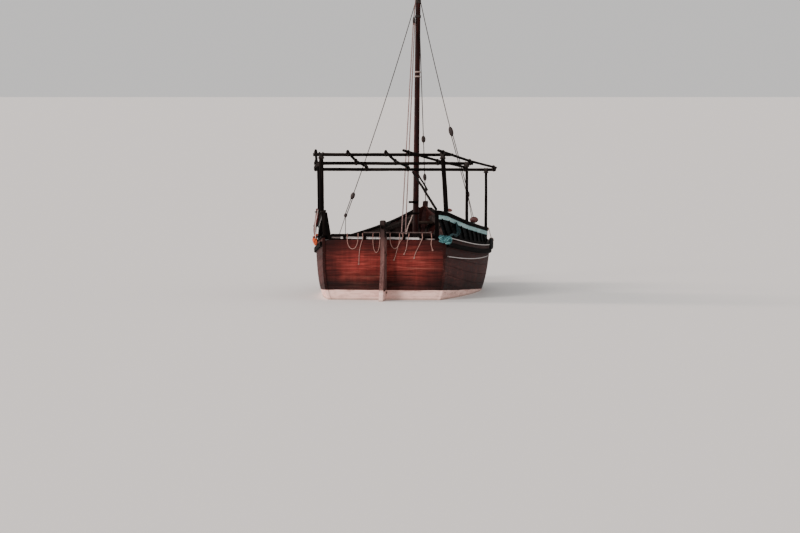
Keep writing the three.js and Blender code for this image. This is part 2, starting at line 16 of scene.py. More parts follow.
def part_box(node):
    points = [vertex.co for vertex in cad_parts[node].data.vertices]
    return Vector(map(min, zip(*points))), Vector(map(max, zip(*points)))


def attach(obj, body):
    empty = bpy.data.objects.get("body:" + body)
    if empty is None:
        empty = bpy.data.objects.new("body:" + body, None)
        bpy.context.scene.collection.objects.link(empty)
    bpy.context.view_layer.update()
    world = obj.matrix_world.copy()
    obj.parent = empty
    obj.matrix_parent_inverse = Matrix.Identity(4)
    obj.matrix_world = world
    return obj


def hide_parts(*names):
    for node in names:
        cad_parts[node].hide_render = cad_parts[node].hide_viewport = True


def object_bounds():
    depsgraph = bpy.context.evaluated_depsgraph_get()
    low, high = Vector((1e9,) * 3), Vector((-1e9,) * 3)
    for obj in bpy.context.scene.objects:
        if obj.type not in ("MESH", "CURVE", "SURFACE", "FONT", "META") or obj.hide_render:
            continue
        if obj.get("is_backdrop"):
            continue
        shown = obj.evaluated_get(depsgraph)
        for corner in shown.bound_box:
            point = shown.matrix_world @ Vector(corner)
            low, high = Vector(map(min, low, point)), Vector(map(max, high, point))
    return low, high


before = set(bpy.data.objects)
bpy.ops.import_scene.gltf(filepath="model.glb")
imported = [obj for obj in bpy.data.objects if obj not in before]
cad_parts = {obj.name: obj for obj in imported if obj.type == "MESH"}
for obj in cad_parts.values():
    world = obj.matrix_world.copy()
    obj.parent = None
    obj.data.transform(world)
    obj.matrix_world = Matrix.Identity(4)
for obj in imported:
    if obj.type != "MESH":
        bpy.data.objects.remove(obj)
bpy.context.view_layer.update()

# %% [markdown]
# Places along the boat are written as a distance forward of the transom, as a boatbuilder would measure
# them. The frame has its origin amidships, so one helper turns such a place into a point. All lengths are
# in metres.

# %% Places along the boat
MIDSHIP = 4.4
STARBOARD = Vector((1, 0, 0))
FORWARD = Vector((0, 1, 0))
UP = Vector((0, 0, 1))


def at(x, l, z):
    """A point x to starboard, l forward of the transom and z above the waterline."""
    return Vector((x, l - MIDSHIP, z))


print("the transom is at y", at(0, 0, 0)[1])

# %% [markdown]
# The camera stands 80 m astern, a little to starboard and 4 m above the water, with a long lens. From there
# the far and near crossbeams of the canopy almost meet, as they do in the photograph. The camera is aimed
# by turning it, so its shift stays at nothing.

# %% Camera
VIEW_YAW = math.radians(5.94)
VIEW_DISTANCE = 80.0
VIEW_HEIGHT = 4.14
PICTURE_WIDTH = 800
LENS, SENSOR = 180, 36
FOCAL = PICTURE_WIDTH * LENS / SENSOR            # the lens's length in pixels
AIM_RIGHT = 16 / FOCAL       # the picture's centre is right of the line to the transom, and below the horizon
AIM_DOWN = 173.5 / FOCAL
NEAREST, FARTHEST = 1.0, 9000.0
camera_data = bpy.data.cameras.new("camera")
camera_data.lens = LENS
camera_data.sensor_width = SENSOR
camera_data.clip_start = NEAREST
camera_data.clip_end = FARTHEST
camera = bpy.data.objects.new("camera", camera_data)
bpy.context.scene.collection.objects.link(camera)
ahead = Vector((-math.sin(VIEW_YAW), math.cos(VIEW_YAW), 0))
rightward = Vector((math.cos(VIEW_YAW), math.sin(VIEW_YAW), 0))
camera.location = at(0, 0, VIEW_HEIGHT) - ahead * VIEW_DISTANCE
sight = ahead + rightward * AIM_RIGHT - Vector((0, 0, AIM_DOWN))
camera.rotation_euler = sight.to_track_quat("-Z", "Y").to_euler()
bpy.context.scene.camera = camera
print("camera at", [round(v, 2) for v in camera.location])

# %% [markdown]
# Every piece below is a mesh made from points and faces. A small class gathers them, so that one piece can
# be many boards, turns of rope or nails, and joins the object under a plain name.

# %% A shape that gathers points and faces
SMOOTH_BELOW = math.radians(38)


class Shape:
    """Points and faces of one piece."""

    def __init__(self):
        self.points = []
        self.faces = []

    def add(self, points, faces):
        start = len(self.points)
        self.points.extend(Vector(p) for p in points)
        self.faces.extend([start + i for i in face] for face in faces)

    def rings(self, rings, closed=False):
        """Faces between equal rings of points, with the two ends capped."""
        count = len(rings[0])
        points = [p for ring in rings for p in ring]
        last = len(rings) if closed else len(rings) - 1
        faces = []
        for i in range(last):
            a, b = i * count, ((i + 1) % len(rings)) * count
            for k in range(count):
                n = (k + 1) % count
                faces.append([a + k, a + n, b + n, b + k])
        if not closed:
            faces.append(list(range(count))[::-1])
            faces.append([(len(rings) - 1) * count + k for k in range(count)])
        self.add(points, faces)

    def make(self, name, finish, slot, body="hull", replaces=()):
        mesh = bpy.data.meshes.new(name)
        mesh.from_pydata(self.points, [], self.faces)
        mesh.validate()
        tidy = bmesh.new()
        tidy.from_mesh(mesh)
        bmesh.ops.recalc_face_normals(tidy, faces=tidy.faces)
        tidy.to_mesh(mesh)
        tidy.free()
        mesh.shade_smooth()
        mesh.set_sharp_from_angle(angle=SMOOTH_BELOW)
        mesh.materials.append(finish)
        piece = bpy.data.objects.new(name, mesh)
        bpy.context.scene.collection.objects.link(piece)
        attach(piece, body)
        if replaces:
            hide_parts(*replaces)
        return piece


LOOKS_IN = -0.25             # a face whose normal leans this much against the way out looks in


def inner_finish(piece, finish, height):
    """Gives the faces that look in at the boat's middle line, at a height, a second finish."""
    piece.data.materials.append(finish)
    for face in piece.data.polygons:
        outward = face.center - Vector((0, face.center[1], height))
        if face.normal.dot(outward.normalized()) < LOOKS_IN:
            face.material_index = 1


print("edges over", round(math.degrees(SMOOTH_BELOW)), "degrees stay sharp")

# %% [markdown]
# Rope has three strands laid round each other. A tube with a three-lobed section that turns as it runs
# gives that look from every side. A curve object with a round bevel would be quicker, but its strands
# couldn't turn. The same tube with a plain section serves for rods and rings.

# %% Tubes and smooth lines
STRANDS = 3
STRAND_DEPTH = 0.1           # depth of the grooves between the strands, as a share of the radius
LAY = 8                      # radii that a strand takes for one turn
ROPE_SIDES = 12


def curve_point(a, b, c, d, t):
    """The point at t on the way from b to c, on the smooth curve through a, b, c and d."""
    squared = (2 * a - 5 * b + 4 * c - d) * t**2
    cubed = (3 * b - a - 3 * c + d) * t**3
    return 0.5 * (2 * b + (c - a) * t + squared + cubed)


def smooth_line(points, step):
    """A curve through the points, cut into pieces about one step long."""
    points = [Vector(p) for p in points]
    ends = [points[0] * 2 - points[1]] + points + [points[-1] * 2 - points[-2]]
    line = []
    for a, b, c, d in zip(ends, ends[1:], ends[2:], ends[3:]):
        parts = max(1, round((c - b).length / step))
        line += [curve_point(a, b, c, d, k / parts) for k in range(parts)]
    return line + [points[-1]]


def length_of(line):
    return sum((b - a).length for a, b in zip(line, line[1:]))


def square_to(direction, along):
    """The direction, turned square to along."""
    return (direction - along * direction.dot(along)).normalized()


def oval(centre, u, v, reach_u, reach_v, count):
    """Points round an oval, from u towards v."""
    angles = [math.tau * k / count for k in range(count)]
    return [centre + u * reach_u * math.cos(a) + v * reach_v * math.sin(a) for a in angles]


def tube_rings(line, radius, sides=8, lobes=0.0, pitch=1.0, closed=False):
    """Rings round a line. radius is a number, or one for each point."""
    radii = radius if isinstance(radius, (list, tuple)) else [radius] * len(line)
    count = len(line)
    rings = []
    across = None
    run = 0.0
    for i, centre in enumerate(line):
        before = line[i - 1] if i or closed else line[0]
        after = line[(i + 1) % count] if closed or i < count - 1 else line[-1]
        along = (after - before).normalized()
        if across is None:
            across = along.orthogonal().normalized()
        across = square_to(across, along)
        side = along.cross(across)
        ring = []
        for k in range(sides):
            angle = k * math.tau / sides
            lobe = math.cos(STRANDS * (angle - run / pitch * math.tau))
            reach = radii[i] * (1 - lobes + lobes * lobe)
            ring.append(centre + across * math.cos(angle) * reach + side * math.sin(angle) * reach)
        rings.append(ring)
        if i < count - 1:
            run += (line[i + 1] - centre).length
    return rings


def rope(shape, points, radius):
    """A laid rope along the points, added to the shape. Gives back its line."""
    line = smooth_line(points, radius * 0.9)
    shape.rings(tube_rings(line, radius, sides=ROPE_SIDES, lobes=STRAND_DEPTH, pitch=radius * LAY))
    return line


print("a rope's strand turns once in", LAY / 2, "diameters")

# %% [markdown]
# ## Finishes
# Each finish is built from nodes. A helper adds a node and links or sets its sockets in one line, which
# keeps the recipes short. Others make the few nodes that nearly every recipe uses: noise, a ramp of tones,
# a mix of two.

# %% Node helpers


def node(tree, kind, sockets=None, **settings):
    """A node of a kind. A socket given another node's output is linked, and any other is set."""
    made = tree.nodes.new("ShaderNode" + kind)
    for key, value in settings.items():
        setattr(made, key, value)
    for key, value in (sockets or {}).items():
        if isinstance(value, bpy.types.NodeSocket):
            tree.links.new(value, made.inputs[key])
        else:
            made.inputs[key].default_value = value
    return made


def ramp(tree, factor, stops):
    """A ramp of tones. stops holds (place, tone) pairs, and a tone is a colour or a number for a grey."""
    made = node(tree, "ValToRGB", {"Fac": factor})
    elements = made.color_ramp.elements
    elements[0].position = stops[0][0]
    elements[-1].position = stops[-1][0]
    for place, _ in stops[1:-1]:
        elements.new(place)
    for element, (_, tone) in zip(elements, stops):
        element.color = (*tone, 1) if isinstance(tone, tuple) else grey(tone)
    return made.outputs["Color"]


def mix(tree, factor, a, b, how="MIX"):
    made = node(tree, "Mix", {0: factor, 6: a, 7: b}, data_type="RGBA", blend_type=how)
    return made.outputs[2]


def grey(value):
    return (value, value, value, 1)


def place_nodes(tree, scale):
    """Object coordinates, stretched by scale."""
    where = node(tree, "TexCoord")
    return node(tree, "Mapping", {"Vector": where.outputs["Object"], "Scale": scale}).outputs["Vector"]


def noise_node(tree, vector, scale, detail, rough, bend=0.0):
    sockets = {"Vector": vector, "Scale": scale, "Detail": detail, "Roughness": rough, "Distortion": bend}
    return node(tree, "TexNoise", sockets).outputs["Fac"]


def remap(tree, value, low, high, to_low=0.0, to_high=1.0):
    """The value with low to high stretched to to_low to to_high, and held at those ends."""
    sockets = {"Value": value, "From Min": low, "From Max": high, "To Min": to_low, "To Max": to_high}
    return node(tree, "MapRange", sockets).outputs[0]


def added(tree, a, b):
    return node(tree, "Math", {0: a, 1: b}, operation="ADD").outputs[0]


def coordinate(tree, plain, axis):
    return node(tree, "SeparateXYZ", {"Vector": plain}).outputs[axis]


def start_finish(name):
    material = bpy.data.materials.new(name)
    material.use_nodes = True
    tree = material.node_tree
    return material, tree, tree.nodes["Principled BSDF"]


def use_bump(tree, shader, height, strength, depth):
    bump = node(tree, "Bump", {"Height": height, "Strength": strength, "Distance": depth})
    tree.links.new(bump.outputs["Normal"], shader.inputs["Normal"])


print("a mid grey is", grey(0.5))

# %% [markdown]
# Old oiled timber is streaky along the grain, differs from board to board, is darker where water runs down
# it, and is rubbed pale in places. The hull's lower part is painted white up to a hand's length above the
# waterline. The whole recipe is one function, because every timber on the boat is a variation of it.

# %% Timber
GRAIN = {"x": (1.4, 26, 26), "y": (26, 1.4, 26), "z": (26, 26, 1.4)}
BOARD_RANGE = 0.35           # how much darker than the palest board the darkest one is
DRIPS = (14, 14, 0.9)        # water marks, long downwards and narrow across
WORN_WOOD = (0.5, 0.4, 0.33)


def timber(name, deep, mid, pale, along, rough=(0.6, 0.85), worn=WORN_WOOD, wear=0.4, shine=0.25,
           white_foot=False, shades=None, edges=None):
    """Weathered timber with its grain along an axis."""
    material, tree, shader = start_finish(name)
    stretched = place_nodes(tree, GRAIN[along])
    plain = place_nodes(tree, (1, 1, 1))
    grain = noise_node(tree, stretched, 1.6, 8, 0.62, 0.6)
    fine = noise_node(tree, stretched, 9.0, 4, 0.7)
    each = node(tree, "NewGeometry").outputs["Random Per Island"]
    patches = noise_node(tree, plain, 1.7, 4, 0.6)
    drips = noise_node(tree, place_nodes(tree, DRIPS), 1.0, 4, 0.6)
    colour = ramp(tree, grain, [(0.28, deep), (0.5, mid), (0.74, pale)])
    # Fine grain, each board's own tone, blotches, and water that has run down
    for share, source, stops in (
        (1.0, fine, [(0.3, 0.62), (0.65, 1.0)]),
        (1.0, each, [(0.0, 1 - BOARD_RANGE), (1.0, 1.0)]),
        (0.75, patches, [(0.35, 0.55), (0.62, 1.0)]),
        (0.6, drips, [(0.42, 0.62), (0.6, 1.0)]),
    ):
        colour = mix(tree, share, colour, ramp(tree, source, stops), "MULTIPLY")
    rubbing = noise_node(tree, place_nodes(tree, [g * 0.3 for g in GRAIN[along]]), 1.5, 6, 0.72)
    colour = mix(tree, ramp(tree, rubbing, [(0.56, 0.0), (0.7, wear)]), colour, (*worn, 1))
    # Bands by height and across, where a part is given them: stains, and painted shade and sheen
    for rows, axis in ((shades, "Z"), (edges, "X")):
        if rows:
            colour = mix(tree, 1.0, colour, shade_by_place(tree, plain, patches, rows, axis), "MULTIPLY")
    gloss = ramp(tree, grain, [(0.3, rough[0]), (0.7, rough[1])])
    if white_foot:
        colour, gloss = add_white_foot(tree, plain, colour, gloss, patches)
    tree.links.new(colour, shader.inputs["Base Color"])
    tree.links.new(gloss, shader.inputs["Roughness"])
    shader.inputs["Specular IOR Level"].default_value = shine
    use_bump(tree, shader, mix(tree, 0.35, grain, fine), 0.35, 0.004)
    return material


print("grain runs", round(GRAIN["x"][1] / GRAIN["x"][0]), "times as long as it is wide")

# %% [markdown]
# Two things on the hull depend on the place and not on the board: darker and lighter bands, and the white
# paint at its foot. The bands are partly stains and partly painted light: painted shade under the transom's
# rail and under the wale, a painted shadow beside the rudder, and a painted sheen across the middle of the
# stern. Both read the place from the object's own coordinates, and noise makes their edges ragged. A mask
# painted by hand would do as well, but all the planks would have to be laid out flat for it.

# %% Stains, painted shade and white paint by place
STAIN_AND_SHADE_WANDER = 0.16
WHITE_TOP = 0.19             # the white band's height at the transom
WHITE_FALL = 0.038           # how much lower it is for each metre forward
WHITE_EDGE = 0.008
WHITE_WANDER = 0.015
WEED_TOP = 0.05


def shade_by_place(tree, plain, patches, shades, axis):
    """Bands of darker and lighter tone by place, with a ragged edge: stains, and painted shade and sheen.
    shades holds (place along the axis, tone) pairs.
    """
    low, high = shades[0][0], shades[-1][0]
    wander = remap(tree, patches, 0, 1, -STAIN_AND_SHADE_WANDER, STAIN_AND_SHADE_WANDER)
    level = added(tree, coordinate(tree, plain, axis), wander)
    share = remap(tree, level, low, high)
    return ramp(tree, share, [((place - low) / (high - low), tone) for place, tone in shades])


def add_white_foot(tree, plain, colour, gloss, patches):
    """White paint up to the waterline band, which slopes down forward, with a wavy, dirty edge."""
    place = coordinate(tree, plain, "Y")
    fall_sockets = {0: place, 1: WHITE_FALL, 2: WHITE_FALL * MIDSHIP}
    fall = node(tree, "Math", fall_sockets, operation="MULTIPLY_ADD").outputs[0]
    height = coordinate(tree, plain, "Z")
    wander = remap(tree, patches, 0, 1, -WHITE_WANDER, WHITE_WANDER)
    level = added(tree, added(tree, height, wander), fall)
    cover = remap(tree, level, WHITE_TOP, WHITE_TOP + WHITE_EDGE, 1.0, 0.0)
    dirt = noise_node(tree, place_nodes(tree, (3, 3, 11)), 1.3, 6, 0.7)
    tones = [(0.3, (0.55, 0.34, 0.29)), (0.5, (0.92, 0.6, 0.53)), (0.75, (0.96, 0.7, 0.64))]
    weed = remap(tree, height, 0.0, WEED_TOP, 0.8, 0.0)
    white = mix(tree, weed, ramp(tree, dirt, tones), (0.3, 0.22, 0.18, 1))
    return mix(tree, cover, colour, white), mix(tree, cover, gloss, grey(0.7))


print("white paint up to", WHITE_TOP, "m at the transom")

# %% [markdown]
# Each part of the boat gets its own timber: the red stern, the darker sides, the almost black rails and
# canopy, the greyer inside and decks. The three tones of each are the grain's deep, middle and pale colour.
# The stern carries painted light: painted shade at its top under the rail, a painted shadow beside the rudder
# and a painted sheen across its middle, and it is also darker near its corners and its foot. The sides are
# darker towards the water, with painted shade under the wale.

# %% Timbers for each part of the boat
STERN_TONES = ((0.08, 0.0113, 0.0093), (0.4, 0.05, 0.041), (0.745, 0.166, 0.133))
# By height: painted shade at the top under the rail, a painted sheen across the middle, darker near the foot
STERN_SHADES = [
    (0.1, (0.22, 0.31, 0.33)), (0.3, (0.2, 0.31, 0.32)), (0.5, (0.64, 0.68, 0.66)), (0.62, 1.0), (0.84, 0.95),
    (1.0, (0.42, 0.4, 0.4)), (1.22, (0.2, 0.15, 0.15)),
]
# Across the stern: a painted shadow beside the rudder, at x -0.2, and darker towards both corners
STERN_EDGES = [
    (-1.2, 0.24), (-1.0, 0.42), (-0.75, 0.76), (-0.5, 1.0), (-0.2, 0.65), (0.1, 1.0), (0.65, 0.95),
    (0.9, 0.58), (1.1, 0.32), (1.2, 0.24),
]
RUDDER_TONES = ((0.1, 0.04, 0.036), (0.32, 0.14, 0.125), (0.56, 0.33, 0.3))
SIDE_TONES = ((0.02, 0.006, 0.006), (0.075, 0.02, 0.018), (0.165, 0.062, 0.056))
SIDE_LOOK = {"white_foot": True, "worn": (0.17, 0.07, 0.06), "shine": 0.1}
# Darker towards the water, and painted shade under the wale and up to the sheer
SIDE_SHADES = [
    (0.05, 0.35), (0.22, 0.5), (0.42, 1.0), (0.72, 1.0), (0.84, (0.6, 0.42, 0.4)), (1.1, (0.5, 0.35, 0.3)),
]
POST_SHADES = [(0.1, 0.8), (1.15, 0.9), (1.28, 0.3), (1.5, 0.14)]
STEM_SHADES = [(0.0, 0.9), (1.0, 0.9), (1.25, 0.45), (1.7, 0.3)]
hull_along = timber("hull_planks", *SIDE_TONES, "y", **SIDE_LOOK, shades=SIDE_SHADES)
hull_across = timber(
    "transom_planks", *STERN_TONES, "x", worn=(0.5, 0.18, 0.13), shine=0.15, white_foot=True,
    shades=STERN_SHADES, edges=STERN_EDGES,
)
hull_upright = timber(
    "post_timber", *RUDDER_TONES, "z", worn=(0.5, 0.34, 0.3), white_foot=True, shades=POST_SHADES,
)
stem_finish = timber("stem_wood", *SIDE_TONES, "z", **SIDE_LOOK, shades=STEM_SHADES)
DARK_TONES = ((0.002, 0.0015, 0.0015), (0.005, 0.0034, 0.0032), (0.014, 0.009, 0.008))
DARK_LOOK = {"worn": (0.04, 0.027, 0.023), "wear": 0.5, "shine": 0.04, "rough": (0.75, 0.95)}
dark_along = timber("rail_timber", *DARK_TONES, "y", **DARK_LOOK)
dark_across = timber("crossbeam_timber", *DARK_TONES, "x", **DARK_LOOK)
dark_upright = timber("canopy_timber", *DARK_TONES, "z", **DARK_LOOK)
# Nearly black partly as painted shade, the shade inside the rail
LINING_TONES = ((0.0016, 0.0022, 0.0025), (0.004, 0.0055, 0.006), (0.012, 0.014, 0.015))
lining_finish = timber("lining_boards", *LINING_TONES, "y", worn=(0.03, 0.032, 0.033), wear=0.4, shine=0.03)
INSIDE_TONES = ((0.024, 0.014, 0.013), (0.085, 0.05, 0.046), (0.17, 0.105, 0.098))
inside_planks = timber("inside_planks", *INSIDE_TONES, "y", shine=0.04, worn=(0.2, 0.13, 0.12))
# The deck and rib tones are dark partly as painted shade, the shade inside the hull
DECK_TONES = ((0.014, 0.009, 0.008), (0.045, 0.029, 0.024), (0.11, 0.075, 0.06))
deck_along = timber("deck_boards", *DECK_TONES, "y", rough=(0.8, 0.95), worn=(0.2, 0.15, 0.12), shine=0.04)
deck_across = timber("beam_boards", *DECK_TONES, "x", rough=(0.8, 0.95), worn=(0.24, 0.19, 0.16), shine=0.04)
# Dark partly as painted shade inside the hull
RIB_TONES = ((0.009, 0.007, 0.006), (0.03, 0.021, 0.019), (0.085, 0.064, 0.058))
rib_timber = timber("rib_timber", *RIB_TONES, "z", rough=(0.75, 0.95), worn=(0.16, 0.13, 0.12), shine=0.05)
MAST_TONES = ((0.004, 0.001, 0.001), (0.02, 0.003, 0.0025), (0.07, 0.011, 0.008))
mast_finish = timber("mast_timber", *MAST_TONES, "z", rough=(0.5, 0.8), worn=(0.1, 0.024, 0.018), shine=0.1)
print("materials with the timbers", len(bpy.data.materials))

# %% [markdown]
# The strake under the rail cap is painted a pale turquoise that has gone chalky and chipped. On the port
# side it has peeled where cloth and ropes chafe it, so the same recipe can also lose its paint towards the
# stern.

# %% Chalky paint
PEELED = (1.2, 3.0)          # aft of the first place no paint is left, and ahead of the other all of it is
CHALKY_TONES = [(0.3, (0.09, 0.22, 0.235)), (0.5, (0.21, 0.385, 0.39)), (0.72, (0.42, 0.57, 0.575))]


def chalky_paint(name, peeled=None):
    """Chalky, chipped paint."""
    material, tree, shader = start_finish(name)
    plain = place_nodes(tree, (1, 1, 1))
    fade = noise_node(tree, place_nodes(tree, (6, 1.2, 9)), 1.0, 6, 0.65)
    chips = noise_node(tree, plain, 26, 5, 0.7)
    bare = ramp(tree, chips, [(0.66, 0.0), (0.68, 1.0)])
    colour = mix(tree, bare, ramp(tree, fade, CHALKY_TONES), (0.07, 0.05, 0.045, 1))
    if peeled:
        place = coordinate(tree, plain, "Y")
        aft = remap(tree, place, peeled[0] - MIDSHIP, peeled[1] - MIDSHIP, 0.42, -0.3)
        flakes = noise_node(tree, place_nodes(tree, (7, 2.5, 11)), 1.3, 7, 0.75)
        gone = ramp(tree, added(tree, flakes, aft), [(0.6, 0.0), (0.63, 1.0)])
        colour = mix(tree, gone, colour, (0.008, 0.0055, 0.005, 1))
    tree.links.new(colour, shader.inputs["Base Color"])
    tree.links.new(ramp(tree, fade, [(0.3, 0.5), (0.7, 0.75)]), shader.inputs["Roughness"])
    use_bump(tree, shader, mix(tree, 0.6, fade, bare), 0.4, 0.002)
    return material


strake_paint = chalky_paint("turquoise_paint")
peeled_paint = chalky_paint("peeled_paint", PEELED)
print("paints made, for both strakes")

# %% [markdown]
# Iron, rope, rubber and twine have no grain. Their colour wanders between a few tones, and the same noise
# makes the surface rough or smooth. One function serves them all, with the tones given for each.

# %% Iron, rope, rubber, twine and small wood


def mottled(name, tones, scale, rough, metal=0.0, stretch=(1, 1, 1), places=(0.3, 0.5, 0.7)):
    """A finish whose colour wanders between three tones, which are at places on the noise."""
    material, tree, shader = start_finish(name)
    where = place_nodes(tree, stretch)
    broad = noise_node(tree, where, scale, 6, 0.65, 0.4)
    fine = noise_node(tree, where, scale * 7, 4, 0.7)
    colour = ramp(tree, broad, list(zip(places, tones)))
    shade = ramp(tree, fine, [(0.3, 0.7), (0.62, 1.0)])
    tree.links.new(mix(tree, 1.0, colour, shade, "MULTIPLY"), shader.inputs["Base Color"])
    tree.links.new(ramp(tree, fine, [(0.3, rough[0]), (0.7, rough[1])]), shader.inputs["Roughness"])
    shader.inputs["Metallic"].default_value = metal
    use_bump(tree, shader, mix(tree, 0.5, broad, fine), 0.4, 0.002)
    return material


ROPE_ROUGH, TWINE_ROUGH, WOOD_ROUGH = (0.85, 1.0), (0.75, 0.95), (0.5, 0.8)
ROPE_TONES = {
    "bleached_rope": ((0.26, 0.17, 0.15), (0.46, 0.34, 0.3), (0.66, 0.53, 0.49)),
    "side_rope": ((0.4, 0.36, 0.35), (0.62, 0.58, 0.57), (0.78, 0.74, 0.73)),
    "halyard_rope": ((0.12, 0.06, 0.055), (0.25, 0.15, 0.14), (0.4, 0.28, 0.26)),
    "dark_rope": ((0.008, 0.005, 0.005), (0.022, 0.014, 0.012), (0.06, 0.04, 0.034)),
    "old_rope": ((0.04, 0.024, 0.022), (0.09, 0.058, 0.053), (0.17, 0.12, 0.11)),
    "faded_rope": ((0.24, 0.11, 0.095), (0.38, 0.2, 0.17), (0.52, 0.32, 0.27)),
}
TWINE_TONES = {
    "net_twine": ((0.004, 0.03, 0.038), (0.01, 0.08, 0.095), (0.03, 0.19, 0.21)),
    "dark_twine": ((0.002, 0.012, 0.015), (0.006, 0.04, 0.047), (0.016, 0.09, 0.1)),
    # The pale twine is a painted highlight on the net
    "pale_highlight_twine": ((0.05, 0.2, 0.22), (0.14, 0.38, 0.39), (0.4, 0.62, 0.61)),
}
rope_finish, side_rope, halyard_rope, tarred_rope, old_rope, tail_rope = (
    mottled(name, tones, 30, ROPE_ROUGH) for name, tones in ROPE_TONES.items()
)
net_twine, dark_twine, pale_highlight_twine = (
    mottled(name, tones, 20, TWINE_ROUGH) for name, tones in TWINE_TONES.items()
)
white_batten = mottled(
    "white_batten", ((0.75, 0.68, 0.66), (0.94, 0.9, 0.89), (0.98, 0.96, 0.95)), 9, (0.6, 0.85),
)
dark_batten_ends = mottled(
    "dark_batten_ends", ((0.1, 0.08, 0.075), (0.26, 0.22, 0.21), (0.42, 0.36, 0.35)), 14, (0.7, 0.9),
)
rust = mottled(
    "rusty_iron", ((0.016, 0.010, 0.008), (0.055, 0.02, 0.012), (0.12, 0.045, 0.025)), 14, (0.6, 0.9),
    metal=0.35,
)
block_wood = mottled(
    "block_wood", ((0.006, 0.003, 0.003), (0.016, 0.006, 0.005), (0.045, 0.014, 0.011)), 12, WOOD_ROUGH,
    stretch=(1, 1, 4),
)
red_wood = mottled(
    "red_block_wood", ((0.03, 0.006, 0.006), (0.09, 0.02, 0.018), (0.2, 0.06, 0.05)), 12, WOOD_ROUGH,
)
tyre_rubber = mottled(
    "tyre_rubber", ((0.005, 0.005, 0.006), (0.012, 0.012, 0.013), (0.05, 0.05, 0.052)), 16, (0.6, 0.95),
    places=(0.3, 0.55, 0.75),
)
print("materials so far", len(bpy.data.materials))

# %% [markdown]
# The furled cloth shows its weave from close by: two fine waves cross each other, in tone and in relief,
# and a little sheen softens the folds. The waves are a texture, because modelled threads would be far too
# many.

# %% Woven cloth
WEAVE_SCALE = 170            # gives threads about 2 mm apart
CLOTH_TONES = {
    "red_cloth": [(0.3, (0.05, 0.004, 0.005)), (0.6, (0.2, 0.014, 0.016))],
    "pale_cloth": [(0.3, (0.4, 0.3, 0.28)), (0.6, (0.74, 0.62, 0.58))],
    "orange_cloth": [(0.3, (0.5, 0.05, 0.015)), (0.6, (0.85, 0.15, 0.04))],
}


def woven(name, stops):
    """Cloth whose tone wanders with noise, with a woven texture."""
    material, tree, shader = start_finish(name)
    where = place_nodes(tree, (1, 1, 1))
    colour = ramp(tree, noise_node(tree, where, 9, 4, 0.6), stops)
    sockets = {"Vector": where, "Scale": WEAVE_SCALE, "Distortion": 1.0}
    warp = node(tree, "TexWave", sockets, bands_direction="Z").outputs["Fac"]
    weft = node(tree, "TexWave", sockets, bands_direction="DIAGONAL").outputs["Fac"]
    weave = mix(tree, 0.5, warp, weft)
    shade = ramp(tree, weave, [(0.2, 0.8), (0.8, 1.0)])
    tree.links.new(mix(tree, 1.0, colour, shade, "MULTIPLY"), shader.inputs["Base Color"])
    shader.inputs["Roughness"].default_value = 0.9
    shader.inputs["Sheen Weight"].default_value = 0.25
    use_bump(tree, shader, weave, 0.3, 0.001)
    return material


red_cloth, pale_cloth, orange_cloth = (woven(name, stops) for name, stops in CLOTH_TONES.items())
print("materials in all", len(bpy.data.materials))

# %% [markdown]
# ## The free ropes
# A free rope is as long as the photograph shows it. It is a laid tube along its own smooth line. A loose end
# has a stopper knot, made as a trefoil, which looks right from any side.

# %% A free rope and its knot
KNOT_POINTS = 48
KNOT_WIDTH, KNOT_LOBE, KNOT_DEPTH = 0.935, 0.44, 1.5         # all in radii of the rope


def stopper_knot(name, centre, along, radius, finish):
    """A small overhand knot, as a trefoil round the rope's line."""
    along = along.normalized()
    side = along.orthogonal().normalized()
    other = along.cross(side)
    line = []
    for k in range(KNOT_POINTS):
        a = math.tau * k / KNOT_POINTS
        out = radius * (KNOT_WIDTH + KNOT_LOBE * math.cos(3 * a))
        height = radius * KNOT_DEPTH * math.sin(3 * a)
        line.append(centre + side * out * math.cos(2 * a) + other * out * math.sin(2 * a) + along * height)
    shape = Shape()
    shape.rings(tube_rings(line, radius * 0.8, sides=8, closed=True), closed=True)
    return shape.make(name, finish, "rope")


def declare_rope(name, points, radius, far_end, finish=tail_rope):
    """A free rope along the points, with a knot if its far end is one. Gives back its line."""
    shape = Shape()
    line = rope(shape, points, radius)
    piece = shape.make(name, finish, "rope")
    if far_end == "knot":
        stopper_knot(name + "_knot", line[-1], line[-1] - line[-4], radius, finish)
    return line


print("a knot is", round(2 * (KNOT_WIDTH + KNOT_LOBE + 0.8), 1), "radii across")

# %% [markdown]
# Old lines hang over the transom from its rail: three slack loops and five loose tails. A loop held at both
# ends sags, and a tail lies against the planks with a slant. A simulation could find both, but a sine comes
# close to a loop's sag and can be set to the one that is seen. Another old rope lies along the rail's top.
# Two more run along the starboard side and one is made fast to the mast; they come with the parts that
# carry them.

# %% Free ropes over the transom
ROPE_RADIUS = 0.008
BAR_TOP, BAR_AFT, BAR_MIDDLE, BAR_FORE = 1.320, 0.030, 0.053, 0.070
TRANSOM_AFT = 0.0203
OFF_PLANKS = 0.003
ROPE_FACE = TRANSOM_AFT - ROPE_RADIUS - OFF_PLANKS
LOOP_POINTS, TAIL_POINTS = 12, 6
TAIL_WAVE = 0.012


def over_the_bar(x):
    """The top of a rope's way over the transom rail: up its front, over it and down its back."""
    r = ROPE_RADIUS
    return [
        at(x, BAR_FORE + 0.005 + r, BAR_TOP - 0.02), at(x, BAR_FORE + r, BAR_TOP + r * 0.7),
        at(x, BAR_MIDDLE, BAR_TOP + r * 1.2), at(x, BAR_AFT, BAR_TOP + r * 0.9),
        at(x, BAR_AFT - r, BAR_TOP - 0.012),
    ]


